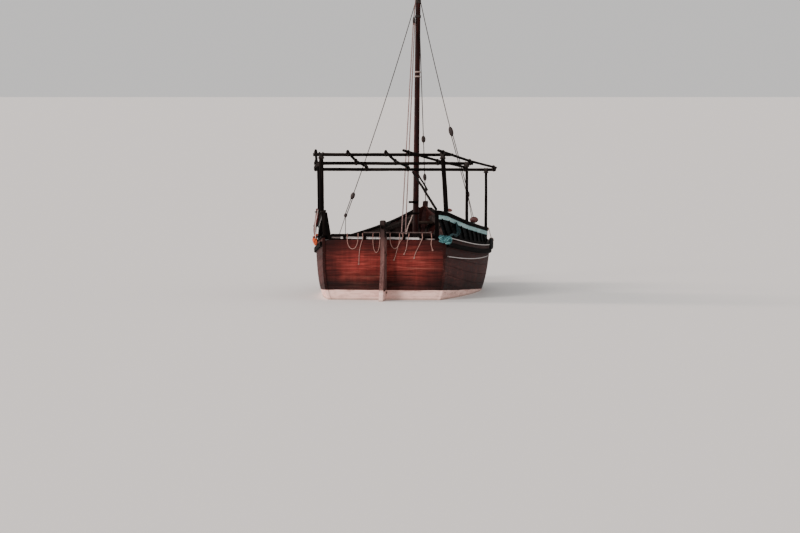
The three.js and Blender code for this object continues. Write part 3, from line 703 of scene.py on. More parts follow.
def hanging_loop(name, left, right, bottom):
    """A slack loop from the bar to the bar, lying against the transom."""
    top = BAR_TOP - 0.02
    points = over_the_bar(left)
    for k in range(1, LOOP_POINTS):
        t = k / LOOP_POINTS
        x = left + (right - left) * (0.5 - 0.5 * math.cos(math.pi * t))
        points.append(at(x, ROPE_FACE, top - (top - bottom) * math.sin(math.pi * t) ** 0.7))
    points += over_the_bar(right)[::-1]
    return declare_rope(name, points, ROPE_RADIUS, "object")


def loose_tail(name, top_x, foot_x, foot_z):
    """A tail that comes over the bar and down the transom at a slant, and ends in a knot."""
    top = BAR_TOP - 0.08
    points = over_the_bar(top_x)
    for k in range(TAIL_POINTS + 1):
        t = k / TAIL_POINTS
        wave = TAIL_WAVE * math.sin(5 * t + top_x * 9)
        points.append(at(top_x + (foot_x - top_x) * t**0.85 + wave, ROPE_FACE, top + (foot_z - top) * t))
    return declare_rope(name, points, ROPE_RADIUS, "knot")


# Each loop: its left and right x, and how low it hangs. Each tail: x at the bar, then x and z of its end
LOOPS = [
    ("loop_port", -0.745, -0.525, 1.02), ("loop_middle", -0.225, -0.085, 0.95),
    ("loop_starboard", 0.12, 0.31, 1.03),
]
TAILS = [
    ("tail_port", -0.435, -0.52, 0.72), ("tail_inner", 0.375, 0.185, 0.8), ("tail_middle", 0.50, 0.405, 0.92),
    ("tail_outer", 0.765, 0.61, 0.84), ("tail_corner", 0.95, 0.965, 1.0),
]
for row in LOOPS:
    hanging_loop(*row)
for row in TAILS:
    loose_tail(*row)
BAR_ROPE_RADIUS = 0.011
BAR_ROPE = [
    (-0.42, 0.002), (-0.31, 0.0), (-0.12, 0.003), (0.06, 0.0), (0.2, 0.002), (0.42, 0.0), (0.6, 0.003),
    (0.8, 0.0), (0.93, 0.002),
]
bar_points = []
for x, lift in BAR_ROPE:
    bar_points.append(at(x, BAR_MIDDLE - 0.001 + 0.010 * math.sin(9 * x), BAR_TOP + 0.028 + lift))
declare_rope("bar_rope", bar_points, BAR_ROPE_RADIUS, "knot", finish=old_rope)

# %% [markdown]
# ## The hull's lines
# The planking follows sections drawn as one curve from the keel to the sheer. The CAD model has them too,
# as straight runs between stations. Here a smooth curve passes through the same stations, so the planks
# look fair and still lie on the model.

# %% Stations
# Each row: the place, the keel's z, x and z of the curve's two control points, and x and z of the sheer
STATIONS = [
    (0.0, -0.400, 1.190, -0.430, 1.250, -0.060, 1.240, 1.240),
    (0.9, -0.470, 1.390, -0.500, 1.430, -0.070, 1.420, 1.150),
    (2.0, -0.540, 1.560, -0.570, 1.570, -0.070, 1.610, 1.050),
    (3.0, -0.580, 1.660, -0.600, 1.650, -0.050, 1.730, 0.985),
    (4.0, -0.600, 1.700, -0.610, 1.680, -0.030, 1.785, 0.950),
    (5.0, -0.590, 1.600, -0.590, 1.620, 0.010, 1.740, 0.955),
    (5.9, -0.560, 1.310, -0.520, 1.390, 0.070, 1.560, 1.005),
    (6.6, -0.480, 0.880, -0.380, 1.010, 0.180, 1.280, 1.085),
    (7.2, -0.060, 0.520, 0.060, 0.640, 0.420, 0.960, 1.190),
    (7.8, 0.560, 0.300, 0.640, 0.360, 0.880, 0.600, 1.330),
    (8.3, 1.060, 0.140, 1.120, 0.190, 1.230, 0.320, 1.475),
    (8.72, 1.480, 0.044, 1.500, 0.046, 1.560, 0.050, 1.640),
]


def fair(rows, l):
    """The row at l, on a smooth curve through the rows' columns."""
    i = 0
    while i < len(rows) - 2 and rows[i + 1][0] < l:
        i += 1
    a, b = rows[i], rows[i + 1]
    before, after = rows[max(i - 1, 0)], rows[min(i + 2, len(rows) - 1)]
    span = b[0] - a[0]
    t = (l - a[0]) / span
    made = [l]
    for k in range(1, len(a)):
        slope_a = (b[k] - before[k]) / (b[0] - before[0]) * span
        slope_b = (after[k] - a[k]) / (after[0] - a[0]) * span
        made.append(
            (2 * t**3 - 3 * t**2 + 1) * a[k] + (t**3 - 2 * t**2 + t) * slope_a
            + (3 * t**2 - 2 * t**3) * b[k] + (t**3 - t**2) * slope_b
        )
    return made


KEEL_HALF = 0.04


def section(l, count=48):
    """Half a section as (x, z) points from the keel to the sheer, evenly spaced along the skin."""
    _, z0, x1, z1, x2, z2, x3, z3 = fair(STATIONS, l)
    raw = []
    for i in range(count * 2 + 1):
        t = i / (count * 2)
        w = ((1 - t) ** 3, 3 * (1 - t) ** 2 * t, 3 * (1 - t) * t**2, t**3)
        x = w[0] * KEEL_HALF + w[1] * x1 + w[2] * x2 + w[3] * x3
        z = w[0] * z0 + w[1] * z1 + w[2] * z2 + w[3] * z3
        raw.append((x, z))
    runs = [0.0]
    for (ax, az), (bx, bz) in zip(raw, raw[1:]):
        runs.append(runs[-1] + math.hypot(bx - ax, bz - az))
    points = []
    k = 0
    for i in range(count + 1):
        want = runs[-1] * i / count
        while k < len(raw) - 2 and runs[k + 1] < want:
            k += 1
        t = (want - runs[k]) / max(runs[k + 1] - runs[k], 1e-9)
        (ax, az), (bx, bz) = raw[k], raw[k + 1]
        points.append((ax + t * (bx - ax), az + t * (bz - az)))
    return points


def skin_point(points, share, inset):
    """The point at a share of the way up the skin, moved in by inset."""
    place = share * (len(points) - 1)
    i = min(int(place), len(points) - 2)
    t = place - i
    (ax, az), (bx, bz) = points[i], points[i + 1]
    length = math.hypot(bx - ax, bz - az)
    nx, nz = (bz - az) / length, -(bx - ax) / length
    return max(ax + t * (bx - ax) - nx * inset, 0.004), az + t * (bz - az) - nz * inset


def skin_at_height(l, z):
    """How far out the skin is at a height, and its share of the way up."""
    points = section(l)
    for i, ((ax, az), (bx, bz)) in enumerate(zip(points, points[1:])):
        if az <= z <= bz:
            t = (z - az) / (bz - az)
            return ax + t * (bx - ax), (i + t) / (len(points) - 1)
    return points[-1][0], 1.0


def sheer(l):
    row = fair(STATIONS, l)
    return row[6], row[7]


print("sheer amidships", [round(v, 3) for v in sheer(4.0)])

# %% [markdown]
# The planks run from the transom to the stem and get narrower at the ends. Each is a long solid of its own
# with eased edges, so the seams between them are real grooves that catch the light. Noise sets their faces
# a hair in or out, as caulked planks stand after years. One shell with a bump for its seams would be
# lighter, but the seams would stay flat at the edge of the picture.

# %% Hull planks
PLANK_COUNT = 14
PLANK_THICK = 0.050
EASE = 0.005
PLANK_STOPS = [round(0.15 * i, 3) for i in range(58)] + [8.72]


def hull_planks(side):
    shape = Shape()
    cuts = [section(l) for l in PLANK_STOPS]
    for n in range(PLANK_COUNT):
        rings = []
        low, high = n / PLANK_COUNT, (n + 1) / PLANK_COUNT
        for l, points in zip(PLANK_STOPS, cuts):
            girth = sum(math.hypot(b[0] - a[0], b[1] - a[1]) for a, b in zip(points, points[1:]))
            ease = min(EASE / girth, 0.2 / PLANK_COUNT)
            depth = min(EASE, 0.012 * girth)
            jog = 0.0006 * noise.noise(Vector((l * 1.3, n * 7.1, side)))
            ring = [skin_point(points, low + ease * 0.2, depth), skin_point(points, low + ease, jog)]
            for k in (0.25, 0.5, 0.75):
                ring.append(skin_point(points, low + (high - low) * k, jog))
            ring += [
                skin_point(points, high - ease, jog), skin_point(points, high - ease * 0.2, depth),
                skin_point(points, high, PLANK_THICK), skin_point(points, (low + high) / 2, PLANK_THICK),
                skin_point(points, low, PLANK_THICK),
            ]
            rings.append([at(side * x, l, z) for x, z in ring])
        shape.rings(rings)
    return shape


for name, side in (("port", -1), ("starboard", 1)):
    planks = hull_planks(side)
    piece = planks.make(f"planks_{name}", hull_along, "hull_wood", replaces=[f"hull_planking_{name}"])
    inner_finish(piece, inside_planks, 0.8)
    print("planks", name, len(planks.faces), "faces")

# %% [markdown]
# Iron nails hold every plank to every rib, in pairs. Their heads stand just proud of the wood. The same low
# dome serves later for the bolts of the ironwork. Scattering them would be less work, but real nails follow
# the ribs, so each is put where a plank crosses one.

# %% Nails
NAIL_RADIUS, NAIL_PROUD = 0.009, 0.002
HEAD_SIDES = 8
LOWEST_NAILED = 3            # the planks below this one are under water
RIB_PLACES = [0.25 + 0.45 * i for i in range(18)]


def disc(shape, centre, out, radius, proud, sides=HEAD_SIDES):
    """A low domed nail or bolt head."""
    out = out.normalized()
    side = out.orthogonal().normalized()
    other = out.cross(side)
    rings = []
    for lift, share in ((-0.003, 1.0), (proud * 0.6, 0.95), (proud, 0.55)):
        rings.append(oval(centre + out * lift, side, other, radius * share, radius * share, sides))
    shape.rings(rings)


nails = Shape()
nail_count = 0
for side in (-1, 1):
    for l in RIB_PLACES:
        points = section(l)
        for n in range(LOWEST_NAILED, PLANK_COUNT):
            for share in (0.25, 0.75):
                up = (n + share) / PLANK_COUNT
                x, z = skin_point(points, up, 0.0)
                inner_x, inner_z = skin_point(points, up, 0.02)
                if z > 0.02 and x > 0.1:
                    out = Vector((side * (x - inner_x), 0, z - inner_z))
                    disc(nails, at(side * x, l, z), out, NAIL_RADIUS, NAIL_PROUD)
                    nail_count += 1
nails.make("hull_nails", rust, "iron")
print("nails", nail_count)

# %% [markdown]
# ## Boards cut from a CAD solid
# A flat part such as the transom or a deck is right in outline and thickness, but it is one block. A copy
# of its mesh is sliced into boards, and the boards' edges are eased with a small bevel. The copy then
# stands for the node. Drawing the boards anew would be possible, but slicing keeps the model's outline
# exactly.

# %% Cut a node into boards
SHARP = math.radians(28)
FLAT = math.radians(1.5)
WELD = 1e-5


def slab(source, axis, low, high):
    """The part of a mesh between two planes across one axis, closed again."""
    part = bmesh.new()
    part.from_mesh(source)
    bmesh.ops.remove_doubles(part, verts=part.verts, dist=WELD)
    bmesh.ops.dissolve_limit(part, angle_limit=FLAT, verts=part.verts, edges=part.edges)
    for place, sign in ((low, -1), (high, 1)):
        if place is None:
            continue
        point, normal = [0, 0, 0], [0, 0, 0]
        point[axis], normal[axis] = place, sign
        everything = part.verts[:] + part.edges[:] + part.faces[:]
        bmesh.ops.bisect_plane(
            part, geom=everything, dist=1e-6, plane_co=point, plane_no=normal, clear_outer=True,
        )
        open_edges = [e for e in part.edges if e.is_boundary]
        bmesh.ops.holes_fill(part, edges=open_edges, sides=0)
    return part


def ease_edges(part, width):
    """Rounds a mesh's sharp edges off by a width."""
    sharp = [e for e in part.edges if len(e.link_faces) == 2 and e.calc_face_angle(0) > SHARP]
    bmesh.ops.bevel(
        part, geom=sharp, offset=width, segments=2, profile=0.6, affect="EDGES", clamp_overlap=True,
    )


def boards(name, nodes, finish, slot, axis=None, width=None, seam=0.004, ease=0.004, body="hull", jog=0.0,
           jog_axis=2):
    """A piece made of boards, cut from the CAD nodes across an axis. With no axis each node stays whole."""
    shape = Shape()
    for source in nodes:
        low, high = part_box(source)
        if axis is None:
            cuts = [(None, None)]
        else:
            count = max(1, round((high[axis] - low[axis]) / width))
            step = (high[axis] - low[axis]) / count
            edges = [low[axis] + step * i for i in range(count + 1)]
            cuts = [
                (a + seam / 2 if i else None, b - seam / 2 if i < count - 1 else None)
                for i, (a, b) in enumerate(zip(edges, edges[1:]))
            ]
        for i, (a, b) in enumerate(cuts):
            part = slab(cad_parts[source].data, axis, a, b)
            if ease:
                ease_edges(part, ease)
            shift = Vector()
            shift[jog_axis] = jog * noise.noise(Vector((i * 3.7 + 0.4, len(source), 0.3)))
            part.verts.index_update()
            shape.add([v.co + shift for v in part.verts], [[v.index for v in f.verts] for f in part.faces])
            part.free()
    return shape.make(name, finish, slot, body, replaces=nodes)


# %% [markdown]
# The transom's planks run across, with narrow seams, and each stands a few millimetres in or out of the
# next. Its inner face is plain wood, so the faces that look forward get another finish. The decks and
# bulkheads are boards with wider seams, cut by the same function.

# %% Transom, decks and bulkheads
LOOKS_FORWARD = 0.5
DECK_JOG = 0.003
stern = boards(
    "transom_boards", ["transom"], hull_across, "hull_wood", axis=2, width=0.105, seam=0.002, ease=0.0025,
    jog=0.003, jog_axis=1,
)
stern.data.materials.append(deck_across)
for face in stern.data.polygons:
    if face.normal[1] > LOOKS_FORWARD:
        face.material_index = 1
# Each row: the piece, its node, its finish, the boards' width, and the axis along which they are uneven
DECKS = [
    ("poop_deck_boards", "poop_deck", deck_along, 0.13, 2),
    ("poop_bulkhead_boards", "poop_bulkhead", rib_timber, 0.16, 1),
    ("hold_floor_boards", "hold_floor", deck_along, 0.16, 2),
    ("foredeck_boards", "foredeck", deck_along, 0.12, 2),
    ("forepeak_boards", "forepeak_bulkhead", rib_timber, 0.16, 1),
]
for name, source, finish, width, jog_axis in DECKS:
    boards(name, [source], finish, "deck_wood", axis=0, width=width, jog=DECK_JOG, jog_axis=jog_axis)
print("boards of the stern", len(stern.data.polygons), "faces")

# %% [markdown]
# Ribs, beams, keel, stem and posts are single timbers, so they keep their CAD form. The edges of all but
# the ribs are eased, most on the stem, which ropes and hands have rounded.

# %% Ribs, beams and backbone
for name in ("port", "starboard"):
    boards(f"rib_timbers_{name}", [f"ribs_{name}"], rib_timber, "deck_wood", ease=0)
BEAMS = ["beam_aft", "beam_middle", "mast_beam", "bow_beam", "mast_step"]
boards("beam_timbers", BEAMS, deck_across, "deck_wood", ease=0.008)
boards("keel_timber", ["keel"], hull_along, "hull_wood", ease=0.01)
boards("stem_timber", ["stem"], stem_finish, "hull_wood", ease=0.018)
boards("sternpost_timber", ["sternpost"], hull_upright, "hull_wood", ease=0.01)
boards("transom_rail_bars", ["transom_rail"], dark_across, "weathered_wood", ease=0.007)
CORNER_POSTS = ["corner_post_port", "corner_post_starboard"]
boards("corner_posts", CORNER_POSTS, dark_upright, "weathered_wood", ease=0.009)

# %% [markdown]
# ## Wales, gunwales and rails
# These long timbers are sprung round the hull, so they bend in one smooth sweep. Each is lofted through
# boxes that are given at many places, with rounded corners and a hand-hewn wobble. The wale follows a
# smooth curve through its rows, and the rail runs straight between its rows. A straight bar bent by a
# modifier would twist on the way, and these stay upright.

# %% Where the wale and the rail run
# Each row of WALE: the place, its lower and its upper edge. Of RAIL: the place, x to starboard and to port, z
WALE = [
    (0.06, 1.070, 1.165), (0.9, 0.985, 1.080), (2.0, 0.885, 0.980), (3.0, 0.820, 0.915), (4.0, 0.785, 0.880),
    (5.0, 0.790, 0.885), (5.9, 0.840, 0.935), (6.6, 0.915, 1.010), (7.2, 1.015, 1.105), (7.8, 1.150, 1.230),
    (8.3, 1.300, 1.360),
]
RAIL = [
    (0.02, 1.060, 1.215, 1.800), (0.55, 1.200, 1.320, 1.752), (1.95, 1.500, 1.540, 1.520),
    (3.0, 1.650, 1.660, 1.405), (4.05, 1.750, 1.750, 1.315),
]
HEWN = 0.0015                # how far a hewn face wanders


def straight(rows, l):
    """The row at l, on straight runs between the rows."""
    i = 0
    while i < len(rows) - 2 and rows[i + 1][0] < l:
        i += 1
    a, b = rows[i], rows[i + 1]
    t = (l - a[0]) / (b[0] - a[0])
    return [l] + [a[k] + t * (b[k] - a[k]) for k in range(1, len(a))]


def rail_at(l, side):
    row = straight(RAIL, l)
    return row[1 if side > 0 else 2], row[3]


def stops_between(low, high, step):
    count = max(1, round((high - low) / step))
    return [low + (high - low) * i / count for i in range(count + 1)]


def sprung(shape, low_end, high_end, box_at, side, ease, wobble):
    """A long timber. box_at(l, side) gives its inner x, outer x, bottom z and top z."""
    rings = []
    for l in stops_between(low_end, high_end, 0.16):
        inner, outer, low, high = box_at(l, side)
        e = min(ease, (outer - inner) * 0.35, (high - low) * 0.35)
        corners = [
            (inner + e, low), (outer - e, low), (outer, low + e), (outer, high - e),
            (outer - e, high), (inner + e, high), (inner, high - e), (inner, low + e),
        ]
        ring = []
        for k, (x, z) in enumerate(corners):
            shake = wobble * noise.noise(Vector((l * 2.1, k * 0.9, side * 3.0)))
            ring.append(at(side * (x + shake), l, z + shake))
        rings.append(ring)
    shape.rings(rings)


print("rail height at the stern", rail_at(0.02, 1)[1])

# %% [markdown]
# Each timber's box is read from the hull or from the rail. The wale stands out from the skin, the gunwale
# lies on the sheer, and the cap, the painted strake and a thin dark moulding hang together on the rail's
# line. The strake hangs a little lower towards the stern. One small function for each timber keeps its
# measures in one place.

# %% Boxes of the long timbers
FIT = 0.0003                 # a hair between two timbers, so that no two faces lie in one plane
WALE_SEAT, WALE_PROUD = 0.004, 0.045
GUNWALE_IN, GUNWALE_OUT, GUNWALE_THICK = 0.070, 0.022, 0.038
RAIL_CAP = (0.095, 0.045)
STRAKE = (0.022, 0.105)
STRAKE_DROP = 0.020          # how much lower the strake hangs aft, down to nothing at STRAKE_EVEN
STRAKE_EVEN = 3.2
MOULDING = (0.014, 0.024)


def wale_box(l, side):
    _, low, high = fair(WALE, l)
    x = skin_at_height(l, (low + high) / 2)[0]
    return x - WALE_SEAT, x + WALE_PROUD, low, high


def gunwale_box(l, side):
    x, z = sheer(l)
    return x - GUNWALE_IN, x + GUNWALE_OUT, z + FIT, z + FIT + GUNWALE_THICK


def cap_box(l, side):
    x, z = rail_at(l, side)
    return x - RAIL_CAP[0] / 2, x + RAIL_CAP[0] / 2, z - RAIL_CAP[1], z


def under_cap(l, side):
    """The rail's x, the height just under its cap, and how much lower the strake hangs here."""
    x, z = rail_at(l, side)
    return x, z - RAIL_CAP[1] - FIT, STRAKE_DROP * max(0, 1 - l / STRAKE_EVEN)


def strake_box(l, side):
    x, top, drop = under_cap(l, side)
    return x - STRAKE[0] / 2, x + STRAKE[0] / 2, top - STRAKE[1] - drop, top


def moulding_box(l, side):
    x, top, drop = under_cap(l, side)
    return x + STRAKE[0] / 2, x + STRAKE[0] / 2 + MOULDING[0], top - MOULDING[1] - drop, top


print("strake drops to", round(strake_box(0.09, 1)[2], 3), "m at the stern")

# %% [markdown]
# Inside the slats the rail is lined with three thin, nearly black boards, which is why it looks closed. Their
# tone is partly painted shade, the shade inside the rail. They lean in with the slats and leave narrow gaps,
# so a little light comes through between them.

# %% Lining boards
LINING_BOARDS = 3
LINING_THICK = 0.009
LINING_FOOT = (-0.055, 0.039)                    # from the sheer, in x and z
LINING_HEAD_IN = 0.013
LINING_ENDS = (0.12, 4.0)


def lining_ring(l, side, n):
    """One of the thin boards that line the rail, as (x, z) points."""
    foot_x, foot_z = sheer(l)
    head_x, head_z = rail_at(l, side)
    low = Vector((foot_x + LINING_FOOT[0], foot_z + LINING_FOOT[1]))
    high = Vector((head_x - LINING_HEAD_IN, head_z - RAIL_CAP[1] - STRAKE[1] + 0.004))
    a = low.lerp(high, (n + 0.01) / LINING_BOARDS)
    b = low.lerp(high, (n + 0.985) / LINING_BOARDS)
    inward = Vector((-LINING_THICK, 0))
    return [a, b, b + inward, a + inward]


def rail_lining(side):
    lining = Shape()
    for n in range(LINING_BOARDS):
        rings = []
        for l in stops_between(*LINING_ENDS, 0.13):
            rings.append([at(side * x, l, z) for x, z in lining_ring(l, side, n)])
        lining.rings(rings)
    return lining


print("lining boards", LINING_BOARDS, "on each side")

# %% [markdown]
# Now both sides are made from the same rows. The strake's inner face isn't painted, and its outer face is
# peeled on the port side. The slats keep their CAD form with eased edges.

# %% Long timbers of both sides
# Each row: the piece, its node, where it starts and ends, its box, its rounding and its wobble
SPRUNG = [
    ("cap_moulding", None, 0.09, 4.05, moulding_box, 0.003, 0.0008),
    ("wale_timber", "wale", 0.06, 8.3, wale_box, 0.012, HEWN),
    ("gunwale_board", "gunwale", 0.06, 8.56, gunwale_box, 0.008, HEWN),
    ("rail_cap_timber", "rail_cap", 0.02, 4.05, cap_box, 0.010, HEWN),
]
for name, side in (("port", -1), ("starboard", 1)):
    rail_lining(side).make(f"rail_lining_{name}", lining_finish, "weathered_wood")
    for piece, source, low, high, box_at, ease, wobble in SPRUNG:
        long_timber = Shape()
        sprung(long_timber, low, high, box_at, side, ease, wobble)
        replaced = [f"{source}_{name}"] if source else ()
        long_timber.make(f"{piece}_{name}", dark_along, "weathered_wood", replaces=replaced)
    strake = Shape()
    sprung(strake, 0.09, 4.05, strake_box, side, 0.004, 0.0008)
    paint = strake_paint if side > 0 else peeled_paint
    board = strake.make(f"strake_board_{name}", paint, "painted_strake", replaces=[f"painted_strake_{name}"])
    inner_finish(board, dark_along, 1.5)
    boards(f"slat_boards_{name}", [f"rail_slats_{name}"], dark_upright, "weathered_wood", ease=0.004)

# %% [markdown]
# ## The canopy frame
# The frame is made of unsawn poles: not quite straight, thicker at the butt, with knots where the branches
# were. A tube along a line gives the pole, and noise moves the line and the skin a little. Sculpting each
# by hand would look as good, but noise makes sixteen different poles from one function.

# %% Crooked poles
SWAY_SCALE, SKIN_SCALE, KNOT_SCALE = 1.1, 9.0, 2.3
KNOT_FROM = 0.42             # how rare knots are: only the noise above this makes one
POLE_SIDES = 14
BLUNT = 0.86                 # the ends' last ring, as a share of the radius


def crooked_pole(shape, points, start_radius, end_radius, seed, bow=0.006):
    """An unsawn pole along the points, with rounded ends."""
    line = smooth_line(points, 0.09)
    total = length_of(line)
    run = 0.0
    centres, radii = [], []
    for i, p in enumerate(line):
        t = run / total
        sway = Vector(noise.noise(Vector((run * SWAY_SCALE, seed, shift))) for shift in (0.0, 5.0, 9.0))
        centres.append(p + sway * bow * math.sin(math.pi * t))
        uneven = 0.0015 * noise.noise(Vector((run * 5, seed, 2.0)))
        radii.append(start_radius + (end_radius - start_radius) * t + uneven)
        if i < len(line) - 1:
            run += (line[i + 1] - p).length
    first = (centres[0] - centres[1]).normalized() * radii[0] * 0.144
    last = (centres[-1] - centres[-2]).normalized() * radii[-1] * 0.144
    centres = [centres[0], centres[0] - first] + centres[1:-1] + [centres[-1] - last, centres[-1]]
    radii = [radii[0] * BLUNT, radii[0]] + radii[1:-1] + [radii[-1], radii[-1] * BLUNT]
    rings = tube_rings(centres, radii, sides=POLE_SIDES)
    for centre, ring in zip(centres, rings):
        for k, p in enumerate(ring):
            bump = noise.noise(p * SKIN_SCALE + Vector((seed, 0, 0)))
            knot = max(0.0, noise.noise(p * KNOT_SCALE + Vector((0, seed, 0))) - KNOT_FROM)
            ring[k] = centre + (p - centre) * (1 + 0.03 * bump + 0.25 * knot)
    shape.rings(rings)


print("poles have", POLE_SIDES, "sides")

# %% [markdown]
# Three crossbeams stand on posts that rise from the rail. Every post leans as the photograph shows it, so
# each has its own head and foot. The beams reach out past them on both sides.

# %% Crossbeams and posts
# Each row: the place, the heads' x to port and starboard, the height, the ends' x to port and starboard, the
# posts' radius
CANOPY = {
    "aft": (0.55, -1.33, 1.13, 2.900, -1.495, 1.340, 0.050),
    "middle": (1.95, -1.56, 1.50, 2.700, -1.645, 1.630, 0.033),
    "fore": (3.90, -1.74, 1.74, 2.537, -1.880, 1.950, 0.032),
}
BEAM_BUTT, BEAM_TIP = 0.035, 0.031
POST_TAPER = 0.004
for i, (name, (l, port_x, starboard_x, z, port_end, starboard_end, thick)) in enumerate(CANOPY.items()):
    beam = Shape()
    crooked_pole(beam, [at(port_end, l, z), at(starboard_end, l, z)], BEAM_BUTT, BEAM_TIP, i + 1.5)
    beam.make(f"crossbeam_{name}", dark_across, "weathered_wood", replaces=[f"canopy_beam_{name}"])
    for side_name, side, head_x in (("port", -1, port_x), ("starboard", 1, starboard_x)):
        foot_x, cap_top = rail_at(l, side)
        ends = [at(side * foot_x, l, cap_top - 0.002), at(head_x, l, z - 0.012)]
        post = Shape()
        crooked_pole(post, ends, thick, thick - POST_TAPER, i * 3.3 + side)
        replaced = [f"canopy_post_{name}_{side_name}"]
        post.make(f"post_{name}_{side_name}", dark_upright, "weathered_wood", replaces=replaced)
print("beams and posts", len(CANOPY) * 3)

# %% [markdown]
# Five long poles lie over the beams, in shallow notches, and carry the awning when it is spread. A spare
# pole is stowed under them with a thinner one, leaning from the transom's corner to the forward beam. Their
# lines are worked out from the beams' rows, so that each pole lies on what carries it.

# %% Long poles
LONG_BUTT, LONG_TIP = 0.028, 0.024
SEAT = 0.055                 # from a beam's centre up to the pole's, which is notched over it
# Each row: x over the aft, the middle and the forward beam, then where the pole starts and ends
LONG_POLES = {
    "port_side": (-1.44, -1.60, -1.85, 0.330, 4.080),
    "port_inner": (-0.79, -0.78, -0.775, 0.500, 4.060),
    "centre": (-0.02, 0.03, 0.095, 0.500, 4.060),
    "starboard_inner": (0.44, 0.90, 1.29, 0.300, 4.040),
    "starboard_side": (1.14, 1.56, 1.90, 0.290, 4.080),
}
# Each row: both ends, the radius at both, and the seed of its crookedness
SPARE_POLES = [
    ((1.040, 0.06, 1.822), (0.206, 3.85, 2.484), 0.027, 0.024, 8.8),
    ((0.700, 1.80, 2.165), (0.292, 3.86, 2.486), 0.020, 0.017, 3.8),
]


def long_pole_line(row):
    """Where a long pole's axis runs over the three beams."""
    (la, za), (lm, zm), (lf, zf) = ((beam_row[0], beam_row[3]) for beam_row in CANOPY.values())
    xa, xm, xf, start, end = row
    slope_a, slope_f = (zm - za) / (lm - la), (zf - zm) / (lf - lm)
    return [
        at(xa + (xm - xa) * (start - la) / (lm - la), start, za + SEAT + slope_a * (start - la)),
        at(xa, la, za + SEAT), at(xm, lm, zm + SEAT), at(xf, lf, zf + SEAT),
        at(xf + (xf - xm) * (end - lf) / (lf - lm), end, zf + SEAT + slope_f * (end - lf)),
    ]


for i, (name, row) in enumerate(LONG_POLES.items()):
    log = Shape()
    crooked_pole(log, long_pole_line(row), LONG_BUTT, LONG_TIP, i * 5.1 + 2)
    log.make(f"long_pole_{name}", dark_along, "weathered_wood", replaces=[f"canopy_pole_{name}"])
spare = Shape()
for start, end, butt, tip, seed in SPARE_POLES:
    crooked_pole(spare, [at(*start), at(*end)], butt, tip, seed, bow=0.008)
spare.make("spare_poles", dark_along, "weathered_wood", replaces=["stowed_pole"])

# %% [markdown]
# A lashing is a rope wound a few times round two poles, first over one diagonal and then over the other.
# One winding function serves every lashing, band and iron eye on the boat.

# %% Lashings
LASH_RADIUS, LASH_STEP = 0.005, 0.010
POINTS_PER_TURN = 18


def winding(shape, centre, u, v, reach_u, reach_v, turns, step=LASH_STEP, radius=LASH_RADIUS):
    """Turns of cord round an oval, side by side along the line square to it."""
    w = u.cross(v).normalized()
    line = []
    for k in range(turns * POINTS_PER_TURN + 1):
        a = math.tau * k / POINTS_PER_TURN
        shift = (k / POINTS_PER_TURN - turns / 2) * step
        line.append(centre + u * reach_u * math.cos(a) + v * reach_v * math.sin(a) + w * shift)
    shape.rings(tube_rings(line, radius, sides=6))


lashings = Shape()
for row in LONG_POLES.values():
    for crossing in long_pole_line(row)[1:-1]:
        for turn in (1, -1):
            diagonal = Vector((turn, 1, 0)).normalized()
            winding(lashings, crossing - UP * SEAT / 2, diagonal, UP, 0.036, 0.065, 3)
for l, port_x, starboard_x, z, _, _, thick in CANOPY.values():
    for head_x in (port_x, starboard_x):
        for turn in (1, -1):
            slant = Vector((turn * 0.62, 0, 0.78)).normalized()
            winding(lashings, at(head_x, l, z - 0.02), slant, FORWARD, thick + 0.030, thick + 0.007, 4)
lashings.make("canopy_lashings", tarred_rope, "rope")
print("lashing faces", len(lashings.faces))

# %% [markdown]
# ## Mast and rigging
# The mast is one tapered pole that leans forward. Two bands of pale cord are on it, and dark lashings where
# the stays, the halyard's block and the low cleats are made fast. A cone would be the simplest mast, but
# rings let its thickness waver as a planed trunk's does.

# %% Mast
MAST_RAKE = 0.1145
MAST_PLACE, MAST_HEEL, MAST_LENGTH = 6.450, -0.250, 7.150
MAST_FOOT, MAST_HEAD = -0.238, 6.900
MAST_RADII = (0.070, 0.052)
BAND_STEP, BAND_RADIUS = 0.013, 0.007


def mast_centre(z):
    return at(0, MAST_PLACE + MAST_RAKE * (z - MAST_HEEL), z)


def mast_radius(z):
    return MAST_RADII[0] + (MAST_RADII[1] - MAST_RADII[0]) * (z - MAST_HEEL) / MAST_LENGTH


mast = Shape()
mast_stops = [MAST_FOOT, MAST_FOOT + 0.008] + [MAST_FOOT + 0.1 + 0.14 * i for i in range(50)]
mast_stops += [MAST_HEAD - 0.02, MAST_HEAD]
mast_radii = [mast_radius(z) + 0.0012 * noise.noise(Vector((z * 2, 3, 1))) for z in mast_stops]
mast_radii[0] *= 0.9
mast_radii[-1] *= 0.6
mast.rings(tube_rings([mast_centre(z) for z in mast_stops], mast_radii, sides=32))
mast.make("mast_pole", mast_finish, "mast_wood", replaces=["mast"])

mast_dir = (mast_centre(1) - mast_centre(0)).normalized()
mast_cords, dark_cords = Shape(), Shape()
# Each row: the shape it goes into, then the heights and turns of its windings
for into, windings in (
    (mast_cords, [(4.59, 2), (4.49, 2)]),
    (dark_cords, [(6.12, 6), (6.22, 4), (6.38, 5), (1.05, 6), (5.80, 4)]),
):
    for z, turns in windings:
        reach = mast_radius(z) + 0.006
        around = mast_dir.cross(STARBOARD)
        winding(into, mast_centre(z), STARBOARD, around, reach, reach, turns, BAND_STEP, BAND_RADIUS)
mast_cords.make("mast_bands", rope_finish, "rope")
dark_cords.make("mast_lashings", tarred_rope, "rope")
print("mast from", MAST_FOOT, "to", MAST_HEAD)

# %% [markdown]
# A block is a pulley in a wooden shell: two rounded cheeks with a sheave between them, and a rope strop
# round its edge that hangs it. Both are rings of points, so every block can have its own size. One block,
# copied and scaled, would have its strop's thickness scaled too.

# %% Blocks
CHEEK_STEPS, CHEEK_SIDES = 6, 20
STROP_RADIUS, STROP_POINTS = 0.007, 28
blocks, red_blocks, strops = Shape(), Shape(), Shape()


